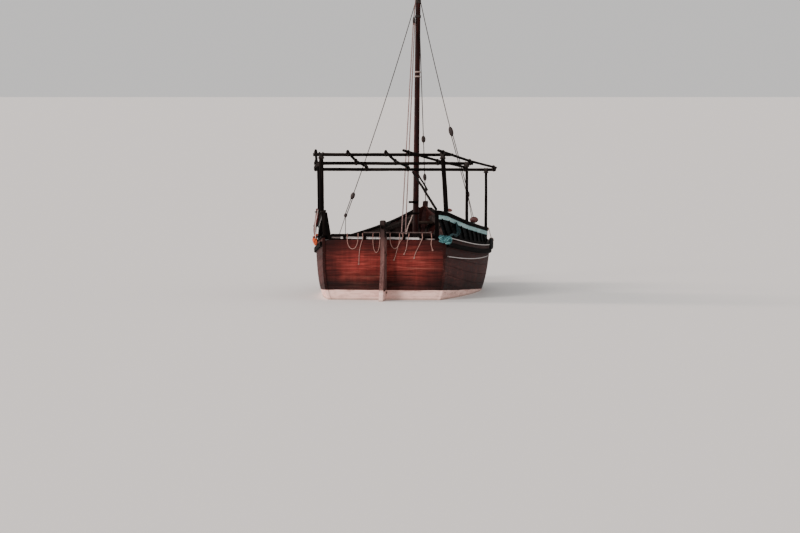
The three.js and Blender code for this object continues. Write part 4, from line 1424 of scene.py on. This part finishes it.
def pulley(shape, centre, along, across, length, width, thick):
    """A wooden block: two rounded cheeks with a sheave between them."""
    along = along.normalized()
    across = square_to(across.normalized(), along)
    out = along.cross(across)
    for cheek in (-1, 1):
        rings = []
        for k in range(CHEEK_STEPS + 1):
            t = k / CHEEK_STEPS
            lift = (0.18 + 0.82 * t) * thick / 2 * cheek
            scale = math.cos(t * math.pi / 2) ** 0.45 * 0.999 + 0.001
            rings.append(oval(
                centre + out * lift, along, across, length / 2 * scale, width / 2 * scale, CHEEK_SIDES,
            ))
        shape.rings(rings)
    reach = width * 0.36
    shape.rings([
        oval(centre + out * lift * thick, along, across, reach, reach, CHEEK_SIDES) for lift in (-0.18, 0.18)
    ])


def strop(shape, centre, along, across, length, width):
    """A rope strop round a block's edge."""
    along = along.normalized()
    across = square_to(across.normalized(), along)
    half_length, half_width = (length + STROP_RADIUS) / 2, (width + STROP_RADIUS) / 2
    line = oval(centre, along, across, half_length, half_width, STROP_POINTS)
    shape.rings(tube_rings(line, STROP_RADIUS, sides=6, closed=True), closed=True)


def hang_block(centre, along, length, width, thick, across=None, into=blocks):
    """A block on its strop, in line with along."""
    across = across or FORWARD.cross(along)
    pulley(into, centre, along, across, length, width, thick)
    strop(strops, centre, along, across, length, width)


print("a block's shell has", 2 * (CHEEK_STEPS + 1) * CHEEK_SIDES, "points")

# %% [markdown]
# Each shroud hangs a little from the mast down to a block. From there two legs of a tackle go to a lower
# block, which two short ropes hold to the gunwale. The hang is a parabola, which is very near the real
# curve of a rope that is almost tight. A round red wooden heart is lashed to the starboard one.

# %% Shrouds
STAY_RADIUS, TACKLE_RADIUS, LANYARD_RADIUS = 0.010, 0.010, 0.008
TACKLE_SPREAD = 0.016
SHROUD_HEAD, SHROUD_SLACK = 6.12, 0.13
SAG_STEPS = 12
HEART_SHARE = 0.066
# Each row: side, place, inset from the sheer, place of the second leg, then for each block its share of the
# way up, its length and its width
SHROUDS = {
    "port": (-1, 5.75, 0.015, 6.12, [(0.176, 0.145, 0.075), (0.094, 0.075, 0.055)]),
    "starboard": (1, 6.25, 0.055, 6.45, [(0.440, 0.2, 0.08), (0.176, 0.13, 0.065)]),
}


def share_point(a, b, t):
    return a + (b - a) * t


def on_gunwale(l, side, inset):
    x, z = sheer(l)
    return at(side * (x - inset), l, z + 0.039)


def sagging(a, b, drop):
    """Points from a to b on a line that hangs a little."""
    shares = [k / SAG_STEPS for k in range(SAG_STEPS + 1)]
    return [share_point(a, b, t) - UP * drop * 4 * t * (1 - t) for t in shares]


for name, (side, place, inset, second, hung) in SHROUDS.items():
    foot = on_gunwale(place, side, inset)
    leg = on_gunwale(second, side, inset)
    head = mast_centre(SHROUD_HEAD) + STARBOARD * side * mast_radius(SHROUD_HEAD)
    run = (head - foot).normalized()
    shroud = Shape()
    low_block = share_point(foot, head, hung[1][0])
    hanging = smooth_line(sagging(low_block, head, SHROUD_SLACK), 0.02)
    top_height = share_point(foot, head, hung[0][0])[2]
    above = [p for p in hanging if p[2] > top_height]
    top_block = above[0]
    rope(shroud, above, STAY_RADIUS)
    for spread in (-TACKLE_SPREAD, TACKLE_SPREAD):
        apart = Vector((spread, spread, 0))
        rope(shroud, [low_block + apart, top_block + apart], TACKLE_RADIUS)
    for end in (foot, leg):
        rope(shroud, [low_block, end - run * 0.01], LANYARD_RADIUS)
    for centre, (_, length, width) in zip((top_block, low_block), hung):
        hang_block(centre, run, length, width, width * 0.7)
    shroud.make(f"shroud_rope_{name}", tarred_rope, "rope", replaces=[f"shroud_{name}"])
    print("shroud", name, "from", [round(v, 2) for v in foot], "to", round(head[2], 2))
heart = share_point(foot, head, HEART_SHARE)
hang_block(heart, Vector((1, 0.1, 0.02)), 0.165, 0.115, 0.1, across=UP, into=red_blocks)

# %% [markdown]
# The forestay comes down to the stem's head with three blocks on it. The halyard, which raises a yard, has
# two falls between a block at the mast and one above a beam of the hold. Both are taut, so they are plain
# laid ropes between two points, with no hang to work out.

# %% Forestay and halyard
HALYARD_RADIUS = 0.013
stay_foot, stay_head = at(0, 8.93, 1.745), mast_centre(6.39)
stay = Shape()
rope(stay, [stay_foot, stay_head], STAY_RADIUS)
stay.make("forestay_rope", tarred_rope, "rope", replaces=["forestay"])
for share, length, width in ((0.049, 0.1, 0.055), (0.114, 0.16, 0.06), (0.296, 0.15, 0.075)):
    hang_block(share_point(stay_foot, stay_head, share), stay_head - stay_foot, length, width, width * 0.7)

fall_foot = at(-0.02, 3.44, 0.632)
high_block = mast_centre(5.71) + Vector((-0.085, -0.03, 0))
fall_head = high_block + Vector((-0.012, 0, -0.02))
pendant_head = mast_centre(6.20) - STARBOARD * mast_radius(6.2)
halyard = Shape()
for start, end in (
    (fall_foot, fall_head),
    (fall_foot + Vector((0.085, 0, 0)), high_block + Vector((0.02, 0, -0.03))),
    (high_block + mast_dir * 0.08, pendant_head),
):
    rope(halyard, [start, end], HALYARD_RADIUS)
halyard.make("halyard_rope", halyard_rope, "rope", replaces=["halyard"])
low_fall = share_point(fall_foot, fall_head, 0.05) + Vector((0.04, 0, 0))
hang_block(high_block, mast_dir, 0.17, 0.09, 0.06, across=FORWARD)
hang_block(low_fall, fall_head - fall_foot, 0.16, 0.11, 0.07)
blocks.make("rigging_blocks", block_wood, "weathered_wood")
red_blocks.make("shroud_heart", red_wood, "weathered_wood")
strops.make("block_strops", tarred_rope, "rope")
print("halyard's falls", round((fall_head - fall_foot).length, 2), "m long")

# %% [markdown]
# Two rough cleats are on the mast's after side. A slack rope is made fast at the lower one, falls to the
# beam at the mast's foot, and lies along it to its knot.

# %% Cleats on the mast, and the rope made fast there
# Each cleat: its height, how far it reaches, its radius. Each point of the slack rope: x and z
CLEATS = [(1.54, 0.135, 0.02), (1.78, 0.10, 0.026)]
MAST_TAIL = [
    (-0.060, 1.50), (-0.085, 1.44), (-0.115, 1.36), (-0.155, 1.27), (-0.185, 1.16), (-0.195, 1.04),
    (-0.18, 0.9), (-0.185, 0.76), (-0.215, 0.675), (-0.29, 0.648), (-0.40, 0.6465), (-0.5, 0.6465),
]
MAST_TAIL_RADIUS = 0.014
cleats = Shape()
for z, reach, thick in CLEATS:
    centre = mast_centre(z)
    back = -mast_radius(z) - thick * 0.7
    ends = [centre + Vector((-reach - 0.05, back, 0)), centre + Vector((reach * 0.6, back, 0.004))]
    crooked_pole(cleats, ends, thick, thick * 0.9, z, bow=0.0)
cleats.make("mast_cleats", dark_across, "weathered_wood")
behind = mast_centre(1.52)[1] - 0.095
tail_points = [Vector((x, behind - 0.02 * math.sin(4 * z), z)) for x, z in MAST_TAIL]
declare_rope(
    "mast_tail", tail_points, MAST_TAIL_RADIUS, "knot", finish=rope_finish,
)

# %% [markdown]
# ## Rudder and iron
# The rudder keeps its CAD form, with eased edges, and turns on its own body with the tiller. The irons that
# it hangs on are rusty. A helper makes flat bars and boards with eased edges for the straps, cheeks and
# battens.

# %% Rudder
PLATE_EASE = 0.002
RUDDER_AXIS = -0.148
boards("rudder_planks", ["rudder"], hull_upright, "hull_wood", ease=0.006, body="rudder_body")
boards("tiller_bar", ["tiller"], dark_along, "weathered_wood", ease=0.009, body="rudder_body")
boards("gudgeon_irons", ["gudgeon_1", "gudgeon_2", "gudgeon_3"], rust, "iron", ease=0.003)


def plate(shape, low, high, ease=PLATE_EASE, lean=0.0):
    """A flat bar or board between two corners as (x, l, z). It rises by lean for each metre of x."""
    part = bmesh.new()
    bmesh.ops.create_cube(part, size=1.0)
    low, high = at(*low), at(*high)
    for v in part.verts:
        v.co = Vector(low[i] + (v.co[i] + 0.5) * (high[i] - low[i]) for i in range(3))
    ease_edges(part, ease)
    for v in part.verts:
        v.co.z += lean * v.co.x
    part.verts.index_update()
    shape.add([v.co.copy() for v in part.verts], [[v.index for v in f.verts] for f in part.faces])
    part.free()


print("rudder's axis at", RUDDER_AXIS)

# %% [markdown]
# Two cheeks stiffen the rudder's head, held by bolts. Below them three pairs of straps clasp the blade and
# as many clasp the sternpost, with a bolt every hand or so. What is on the blade turns with it, and what is
# on the post stays.

# %% Cheeks of the rudder head, straps and bolts
CHEEK = (0.0402, 0.0535)                         # inner and outer face, from the middle
BLADE_STRAP = (0.0402, 0.0462)
POST_STRAP = (0.0552, 0.0612)
STRAPS = [(-0.56, 0.52), (0.15, 0.34), (0.90, 0.10)]         # height, and reach along the blade
BOLT_RADIUS, BOLT_PROUD = 0.010, 0.005
cheeks, straps, post_straps = Shape(), Shape(), Shape()


def bolt(shape, side, out, l, z, radius=BOLT_RADIUS):
    disc(shape, at(side * out, l, z), STARBOARD * side, radius, BOLT_PROUD)


def both_faces(side, faces):
    """The two x of a plate on one side, the lower first."""
    return sorted(side * face for face in faces)


for side in (-1, 1):
    inner, outer = both_faces(side, CHEEK)
    plate(cheeks, (inner, RUDDER_AXIS - 0.150, 1.27), (outer, RUDDER_AXIS + 0.008, 1.59), 0.004)
    for l in (RUDDER_AXIS - 0.11, RUDDER_AXIS - 0.02):
        for z in (1.31, 1.40, 1.54):
            bolt(straps, side, CHEEK[1], l, z, 0.012)
    for z, reach in STRAPS:
        inner, outer = both_faces(side, BLADE_STRAP)
        plate(straps, (inner, RUDDER_AXIS - 0.02 - reach, z + 0.036), (outer, RUDDER_AXIS + 0.004, z + 0.082))
        count = max(2, round(reach / 0.11))
        for k in range(count):
            l = RUDDER_AXIS - 0.03 - (reach - 0.03) * k / (count - 1)
            bolt(straps, side, BLADE_STRAP[1], l, z + 0.059)
        inner, outer = both_faces(side, POST_STRAP)
        plate(post_straps, (inner, -0.10, z - 0.022), (outer, 0.012, z + 0.022))
        for l in (-0.075, -0.02):
            bolt(post_straps, side, POST_STRAP[1], l, z)
cheeks.make("rudder_cheeks", dark_upright, "weathered_wood", body="rudder_body")
straps.make("rudder_straps", rust, "iron", body="rudder_body")
post_straps.make("post_straps", rust, "iron")
print("straps", 2 * len(STRAPS), "on the blade")

# %% [markdown]
# ## Fender, cloth and net
# The fender is an old tyre. It is a ring of rings: every fourth is cut down outside for the tread, and the
# inside is flatter. A torus would be too even. It hangs from the rail by a rope that is wound round both.

# %% Fender
TYRE_STEPS, TYRE_SIDES = 72, 18
TYRE_MIDDLE, TYRE_THICK = 0.078, 0.041           # from the centre to the tube's middle, and the tube's radius
TREAD_DEPTH, TREAD_EVERY = 0.005, 4
FENDER_PLACE = 3.95
HANGER_STEP, HANGER_RADIUS = 0.014, 0.007
fender_low, fender_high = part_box("fender_tyre")
fender_centre = (fender_low + fender_high) / 2
tyre = Shape()
tyre_rings = []
for k in range(TYRE_STEPS):
    a = math.tau * k / TYRE_STEPS
    outward = Vector((0, math.cos(a), math.sin(a)))
    ring = []
    for j in range(TYRE_SIDES):
        b = math.tau * j / TYRE_SIDES
        reach = TYRE_THICK
        if abs(math.sin(b)) < 0.75 and math.cos(b) > 0 and k % TREAD_EVERY == 0:
            reach -= TREAD_DEPTH
        if math.cos(b) < -0.55:
            reach *= 0.82
        out = outward * (TYRE_MIDDLE + reach * math.cos(b))
        ring.append(fender_centre + out + STARBOARD * reach * math.sin(b))
    tyre_rings.append(ring)
tyre.rings(tyre_rings, closed=True)
tyre.make("tyre_fender", tyre_rubber, "rubber", replaces=["fender_tyre"])
hang_x, hang_top = rail_at(FENDER_PLACE, 1)
tyre_top = fender_centre + UP * TYRE_MIDDLE
cap_middle = at(hang_x, FENDER_PLACE, hang_top - RAIL_CAP[1] / 2)
hanger = Shape()
rope(hanger, [at(hang_x + 0.056, FENDER_PLACE, hang_top - 0.03), fender_centre + UP * 0.125], 0.008)
for centre, wide, high in ((tyre_top, 0.049, 0.049), (cap_middle, 0.056, 0.031)):
    winding(hanger, centre, STARBOARD, UP, wide, high, 3, HANGER_STEP, HANGER_RADIUS)
hanger.make("fender_rope", rope_finish, "rope")
print("fender at", [round(v, 2) for v in fender_centre])

# %% [markdown]
# Three cloths are furled along the canopy's aft port post. Each is a real sheet that is gathered round a
# line, with deep folds across its width, so its flat width is its area over its length. A simulation could
# drape it, but a sheet drawn by waves stays just where it is tied. The folds turn a little on the way down,
# and the sheet draws in at both ends, where it is tied.

# %% Furled cloth
CLOTH_STEPS, CLOTH_WIDTH_STEPS = 30, 110
OVERLAP = 1.06               # turns that the sheet's width goes round


def gathered_points(top, foot, folds, spread, seed, squash):
    """The points of a gathered sheet, row by row from the top."""
    along = foot - top
    length = along.length
    along.normalize()
    side = square_to(FORWARD, along)
    other = along.cross(side)
    points = []
    for i in range(CLOTH_STEPS + 1):
        t = i / CLOTH_STEPS
        drawn_in = 0.5 + 0.5 * math.sin(math.pi * min(1, t * 1.05)) ** 0.7
        squeeze = spread * (drawn_in + 0.12 * math.sin(8 * t + seed))
        middle = top + along * (length * t) + other * (0.014 * math.sin(5.5 * t + seed))
        for k in range(CLOTH_WIDTH_STEPS + 1):
            s = k / CLOTH_WIDTH_STEPS
            a = math.tau * OVERLAP * s + seed + 0.8 * t
            fold = math.cos(folds * math.tau * s + 1.5 * math.sin(3 * t + seed))
            out = squeeze * (0.64 + 0.36 * fold)
            wave = 0.004 * noise.noise(Vector((s * 9, t * 5, seed)))
            aside = side * (math.cos(a) * out + wave)
            points.append(middle + aside + other * (math.sin(a) * out * squash + wave))
    return points


def gathered_cloth(name, top, foot, folds, finish, spread, seed, squash, replaces=()):
    """A sheet gathered round a line from top to foot."""
    faces = []
    for i in range(CLOTH_STEPS):
        for k in range(CLOTH_WIDTH_STEPS):
            a = i * (CLOTH_WIDTH_STEPS + 1) + k
            faces.append([a, a + 1, a + CLOTH_WIDTH_STEPS + 2, a + CLOTH_WIDTH_STEPS + 1])
    shape = Shape()
    shape.add(gathered_points(top, foot, folds, spread, seed, squash), faces)
    piece = shape.make(name, finish, "cloth", replaces=replaces)


# Each row: the piece, its top and foot, its folds, its finish, its reach, its seed and how flat it is
CLOTHS = [
    ("cloth_red", (-1.430, 0.62, 1.81), (-1.458, 0.61, 1.27), 7, red_cloth, 0.046, 0.4, 0.8),
    ("cloth_pale", (-1.412, 0.545, 1.79), (-1.455, 0.535, 1.20), 3, pale_cloth, 0.020, 1.9, 0.7),
    ("cloth_orange", (-1.435, 0.60, 1.30), (-1.470, 0.59, 1.065), 5, orange_cloth, 0.054, 2.6, 1.0),
]
for name, top, foot, folds, finish, spread, seed, squash in CLOTHS:
    replaced = ["furled_cloth"] if name == "cloth_red" else ()
    gathered_cloth(name, at(*top), at(*foot), folds, finish, spread, seed, squash, replaced)
cloth_ties = Shape()
for x, z, reach in ((-1.430, 1.74, 0.036), (-1.446, 1.46, 0.050), (-1.458, 1.235, 0.050)):
    winding(cloth_ties, at(x, 0.60, z), STARBOARD, FORWARD, reach, reach + 0.012, 3, 0.011)
cloth_ties.make("cloth_ties", tarred_rope, "rope")

# %% [markdown]
# The net is heaped on the transom's corner. Single meshes can't be told apart there, so the heap is a few
# uneven lumps with turns of twine wound over them every way, and a turn in four is paler twine, as a
# painted highlight on the net. A cloth simulation of a net would need thousands of knots for a heap the size
# of a bucket.

# %% Net heap
random.seed(11)
# Each lump: x, l, z of its middle, then half its width, depth and height
LUMPS = [
    (1.165, -0.060, 1.262, 0.070, 0.052, 0.050), (1.250, -0.062, 1.222, 0.088, 0.054, 0.075),
    (1.318, -0.060, 1.215, 0.058, 0.050, 0.082), (1.185, -0.062, 1.190, 0.080, 0.050, 0.048),
    (1.290, -0.058, 1.152, 0.062, 0.048, 0.038),
]
LUMP_STEPS, LUMP_SIDES = 10, 18
LUMP_CORE = 0.78             # the lump's own size, inside its twine
TURNS_PER_LUMP, HIGHLIGHT_EVERY, TURN_POINTS = 15, 4, 26
TWINE_RADIUS = 0.0045
net, net_highlight_turns, drape = Shape(), Shape(), Shape()


def on_lump(lump, d, seed, size):
    """A point of a lump's skin in direction d."""
    bulge = size + 0.12 * noise.noise(d * 2.6 + Vector((seed, 0, 0)))
    return at(*lump[:3]) + Vector(d[j] * lump[3 + j] * bulge for j in range(3))


for n, lump in enumerate(LUMPS):
    seed = n * 3.1
    rings = []
    for i in range(LUMP_STEPS + 1):
        polar = math.pi * i / LUMP_STEPS
        width = math.sin(polar)
        directions = oval(UP * math.cos(polar), STARBOARD, FORWARD, width, width, LUMP_SIDES)
        rings.append([on_lump(lump, d, seed, LUMP_CORE) for d in directions])
    net.rings(rings)
    for turn in range(TURNS_PER_LUMP):
        normal = Vector((random.gauss(0, 1), random.gauss(0, 0.5), random.gauss(0, 1))).normalized()
        u = normal.orthogonal().normalized()
        offset = random.uniform(-0.6, 0.6)
        reach = math.sqrt(1 - offset**2)
        size = random.uniform(0.8, 0.92)
        directions = oval(normal * offset, u, normal.cross(u), reach, reach, TURN_POINTS)
        line = [on_lump(lump, d, seed, size) for d in directions]
        # A turn in four is paler twine, as a painted highlight
        into = net_highlight_turns if turn % HIGHLIGHT_EVERY == 0 else net
        into.rings(tube_rings(line, TWINE_RADIUS, sides=5, closed=True), closed=True)
net.make("net_heap", net_twine, "net", replaces=["net_bundle"])
net_highlight_turns.make("net_heap_highlight", pale_highlight_twine, "net")
print("net faces", len(net.faces) + len(net_highlight_turns.faces))

# %% [markdown]
# A strip of the same net hangs from the rail inside the slats down to the heap. Its strands follow one line
# and wander from it a little, less at the top and not at all where they end in the heap.

# %% Net strip
DRAPE = [
    (1.352, 1.08, 1.500), (1.385, 0.92, 1.350), (1.385, 0.62, 1.262), (1.345, 0.25, 1.296),
    (1.300, -0.045, 1.262),
]
DRAPE_STRANDS, STRAND_RADIUS = 15, 0.005
TOP_LOOSE, STRIP_LOOSE = 0.012, 0.030
for n in range(DRAPE_STRANDS):
    points = []
    for k, (x, l, z) in enumerate(DRAPE):
        free = k < len(DRAPE) - 1
        out = abs(random.gauss(0, STRIP_LOOSE if k else TOP_LOOSE)) * free
        forward_by = random.gauss(0, 0.06) * free
        points.append(at(x + out, l + forward_by, z + random.uniform(0, 0.03)))
    drape.rings(tube_rings(smooth_line(points, 0.03), STRAND_RADIUS, sides=5))
drape.make("net_drape", dark_twine, "net")
print("strip faces", len(drape.faces))

# %% [markdown]
# Two slack ropes run along the starboard side, one on the gunwale's edge and one below the wale. Each is
# held at its ends by an iron eye: a single turn of rod with a round plate behind it.

# %% Ropes along the side, and their eyes
SIDE_ROPE_RADIUS = 0.009
SIDE_STEPS = 16
side_points, low_points = [], []
for k in range(SIDE_STEPS + 1):
    t = k / SIDE_STEPS
    l = 0.14 + 3.75 * t
    x, z = sheer(l)
    side_points.append(at(x + GUNWALE_OUT + 0.0115, l, z + 0.020 - 0.014 * math.sin(math.pi * t)))
    l = 0.10 + 3.77 * t
    z = 0.87 - 0.135 * t - 0.05 * math.sin(math.pi * t)
    low_points.append(at(skin_at_height(l, z)[0] + 0.014, l, z))
declare_rope("side_rope", side_points, SIDE_ROPE_RADIUS, "object", finish=side_rope)
declare_rope("low_rope", low_points, SIDE_ROPE_RADIUS, "object", finish=side_rope)
eyes = Shape()
for p in (side_points[0], side_points[-1], low_points[0], low_points[-1]):
    winding(eyes, p, STARBOARD, UP, 0.018, 0.018, 1, 0.004, 0.004)
    disc(eyes, p - STARBOARD * 0.012, STARBOARD, 0.016, 0.005, 10)
eyes.make("side_eyes", rust, "iron")

# %% [markdown]
# A white batten is nailed under the transom's rail, darker at both ends, and a dark board closes the gap
# behind it. The dark board stands for the transom's dark top edge and for painted shade under the rail. The
# batten drops a little to starboard. A small red block stands on the rail at that side.

# %% Batten on the transom, and the block on the rail
BATTEN_LEAN = -0.009         # the batten's rise for each metre to starboard
batten, batten_ends, coping, foot_block = Shape(), Shape(), Shape(), Shape()
plate(batten, (-0.885, 0.0757, 1.214), (0.70, 0.0842, 1.259), lean=BATTEN_LEAN)
plate(batten_ends, (-1.12, 0.0765, 1.222), (-0.886, 0.0842, 1.252), lean=BATTEN_LEAN)
plate(batten_ends, (0.701, 0.0765, 1.212), (1.016, 0.0842, 1.238), lean=BATTEN_LEAN)
# The coping: the transom's dark top edge, and painted shade under the rail
plate(coping, (-1.165, 0.0843, 1.2005), (1.016, 0.0925, 1.264))
plate(coping, (-1.235, 0.0843, 1.2005), (-1.13, 0.0925, 1.305))
batten.make("transom_batten", white_batten, "painted_strake")
batten_ends.make("transom_batten_ends", dark_batten_ends, "painted_strake")
coping.make("transom_coping", dark_across, "weathered_wood")
pulley(foot_block, at(1.258, 0.56, 1.785), Vector((1, 0.1, -0.1)), UP, 0.13, 0.07, 0.05)
foot_block.make("rail_block", red_wood, "weathered_wood")

# %% [markdown]
# ## Floor and light
# The floor lies at the waterline, where the boat floats, and has a hole where the hull goes through. It is
# one ring of faces, from the hull's outline out to far away, so that its edge is never seen. A plain plane
# would cut through the hold and show inside the open hull.

# %% Floor
FLOOR_REACH = 4000.0
HOLE_INSET = 0.025
BOW_END, BOW_HALF = 7.3, 0.03
half_outline = [(skin_at_height(l, 0.0)[0] - HOLE_INSET, l) for l in stops_between(0.0, 7.15, 0.25)]
half_outline.append((BOW_HALF, BOW_END))
inner_loop = [at(x, l, 0) for x, l in half_outline] + [at(-x, l, 0) for x, l in reversed(half_outline)]
floor_points, floor_faces = [], []
for k, p in enumerate(inner_loop):
    n = (k + 1) % len(inner_loop)
    floor_points += [p, Vector((p[0], p[1], 0)).normalized() * FLOOR_REACH]
    floor_faces.append([2 * k, 2 * k + 1, 2 * n + 1, 2 * n])
floor_mesh = bpy.data.meshes.new("floor")
floor_mesh.from_pydata(floor_points, [], floor_faces)
floor_mesh.validate()
floor_material, _, floor_shader = start_finish("pale_floor")
floor_shader.inputs["Base Color"].default_value = (0.78, 0.76, 0.745, 1)
floor_shader.inputs["Roughness"].default_value = 0.6
floor_mesh.materials.append(floor_material)
floor = bpy.data.objects.new("floor", floor_mesh)
bpy.context.scene.collection.objects.link(floor)
floor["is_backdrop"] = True
print("floor faces", len(floor_faces))

# %% [markdown]
# The light is soft and plain, a little warmer from the left: a pale studio all round and two broad suns.
# Suns keep their direction in every view, and a wide angle makes their shadows soft. Lamps near the boat
# would do for one picture, but not for the views from its other sides.

# %% Light
STUDIO_COLOUR, STUDIO_STRENGTH = (0.92, 0.9, 0.89, 1), 0.8
world = bpy.data.worlds.new("studio")
bpy.context.scene.world = world
world.use_nodes = True
background = world.node_tree.nodes["Background"]
background.inputs["Color"].default_value = STUDIO_COLOUR
background.inputs["Strength"].default_value = STUDIO_STRENGTH
# Each sun: its name, the direction it stands in, its strength, its colour and its angle in degrees
SUNS = [
    ("key", (-0.5, -0.72, 0.48), 2.2, (1.0, 0.93, 0.88), 18),
    ("port", (-0.93, 0.2, 0.3), 3.0, (1.0, 0.82, 0.76), 16),
]
for name, towards, strength, colour, spread in SUNS:
    data = bpy.data.lights.new(name, "SUN")
    data.energy = strength
    data.color = colour
    data.angle = math.radians(spread)
    light = bpy.data.objects.new(name, data)
    light.rotation_euler = Vector(towards).to_track_quat("Z", "Y").to_euler()
    bpy.context.scene.collection.objects.link(light)
print("suns", len(SUNS))

# %% [markdown]
# The last step prints the dressed model's box.

# %% Size and finish
low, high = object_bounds()
print("visual box", [round(v, 3) for v in low], [round(v, 3) for v in high])
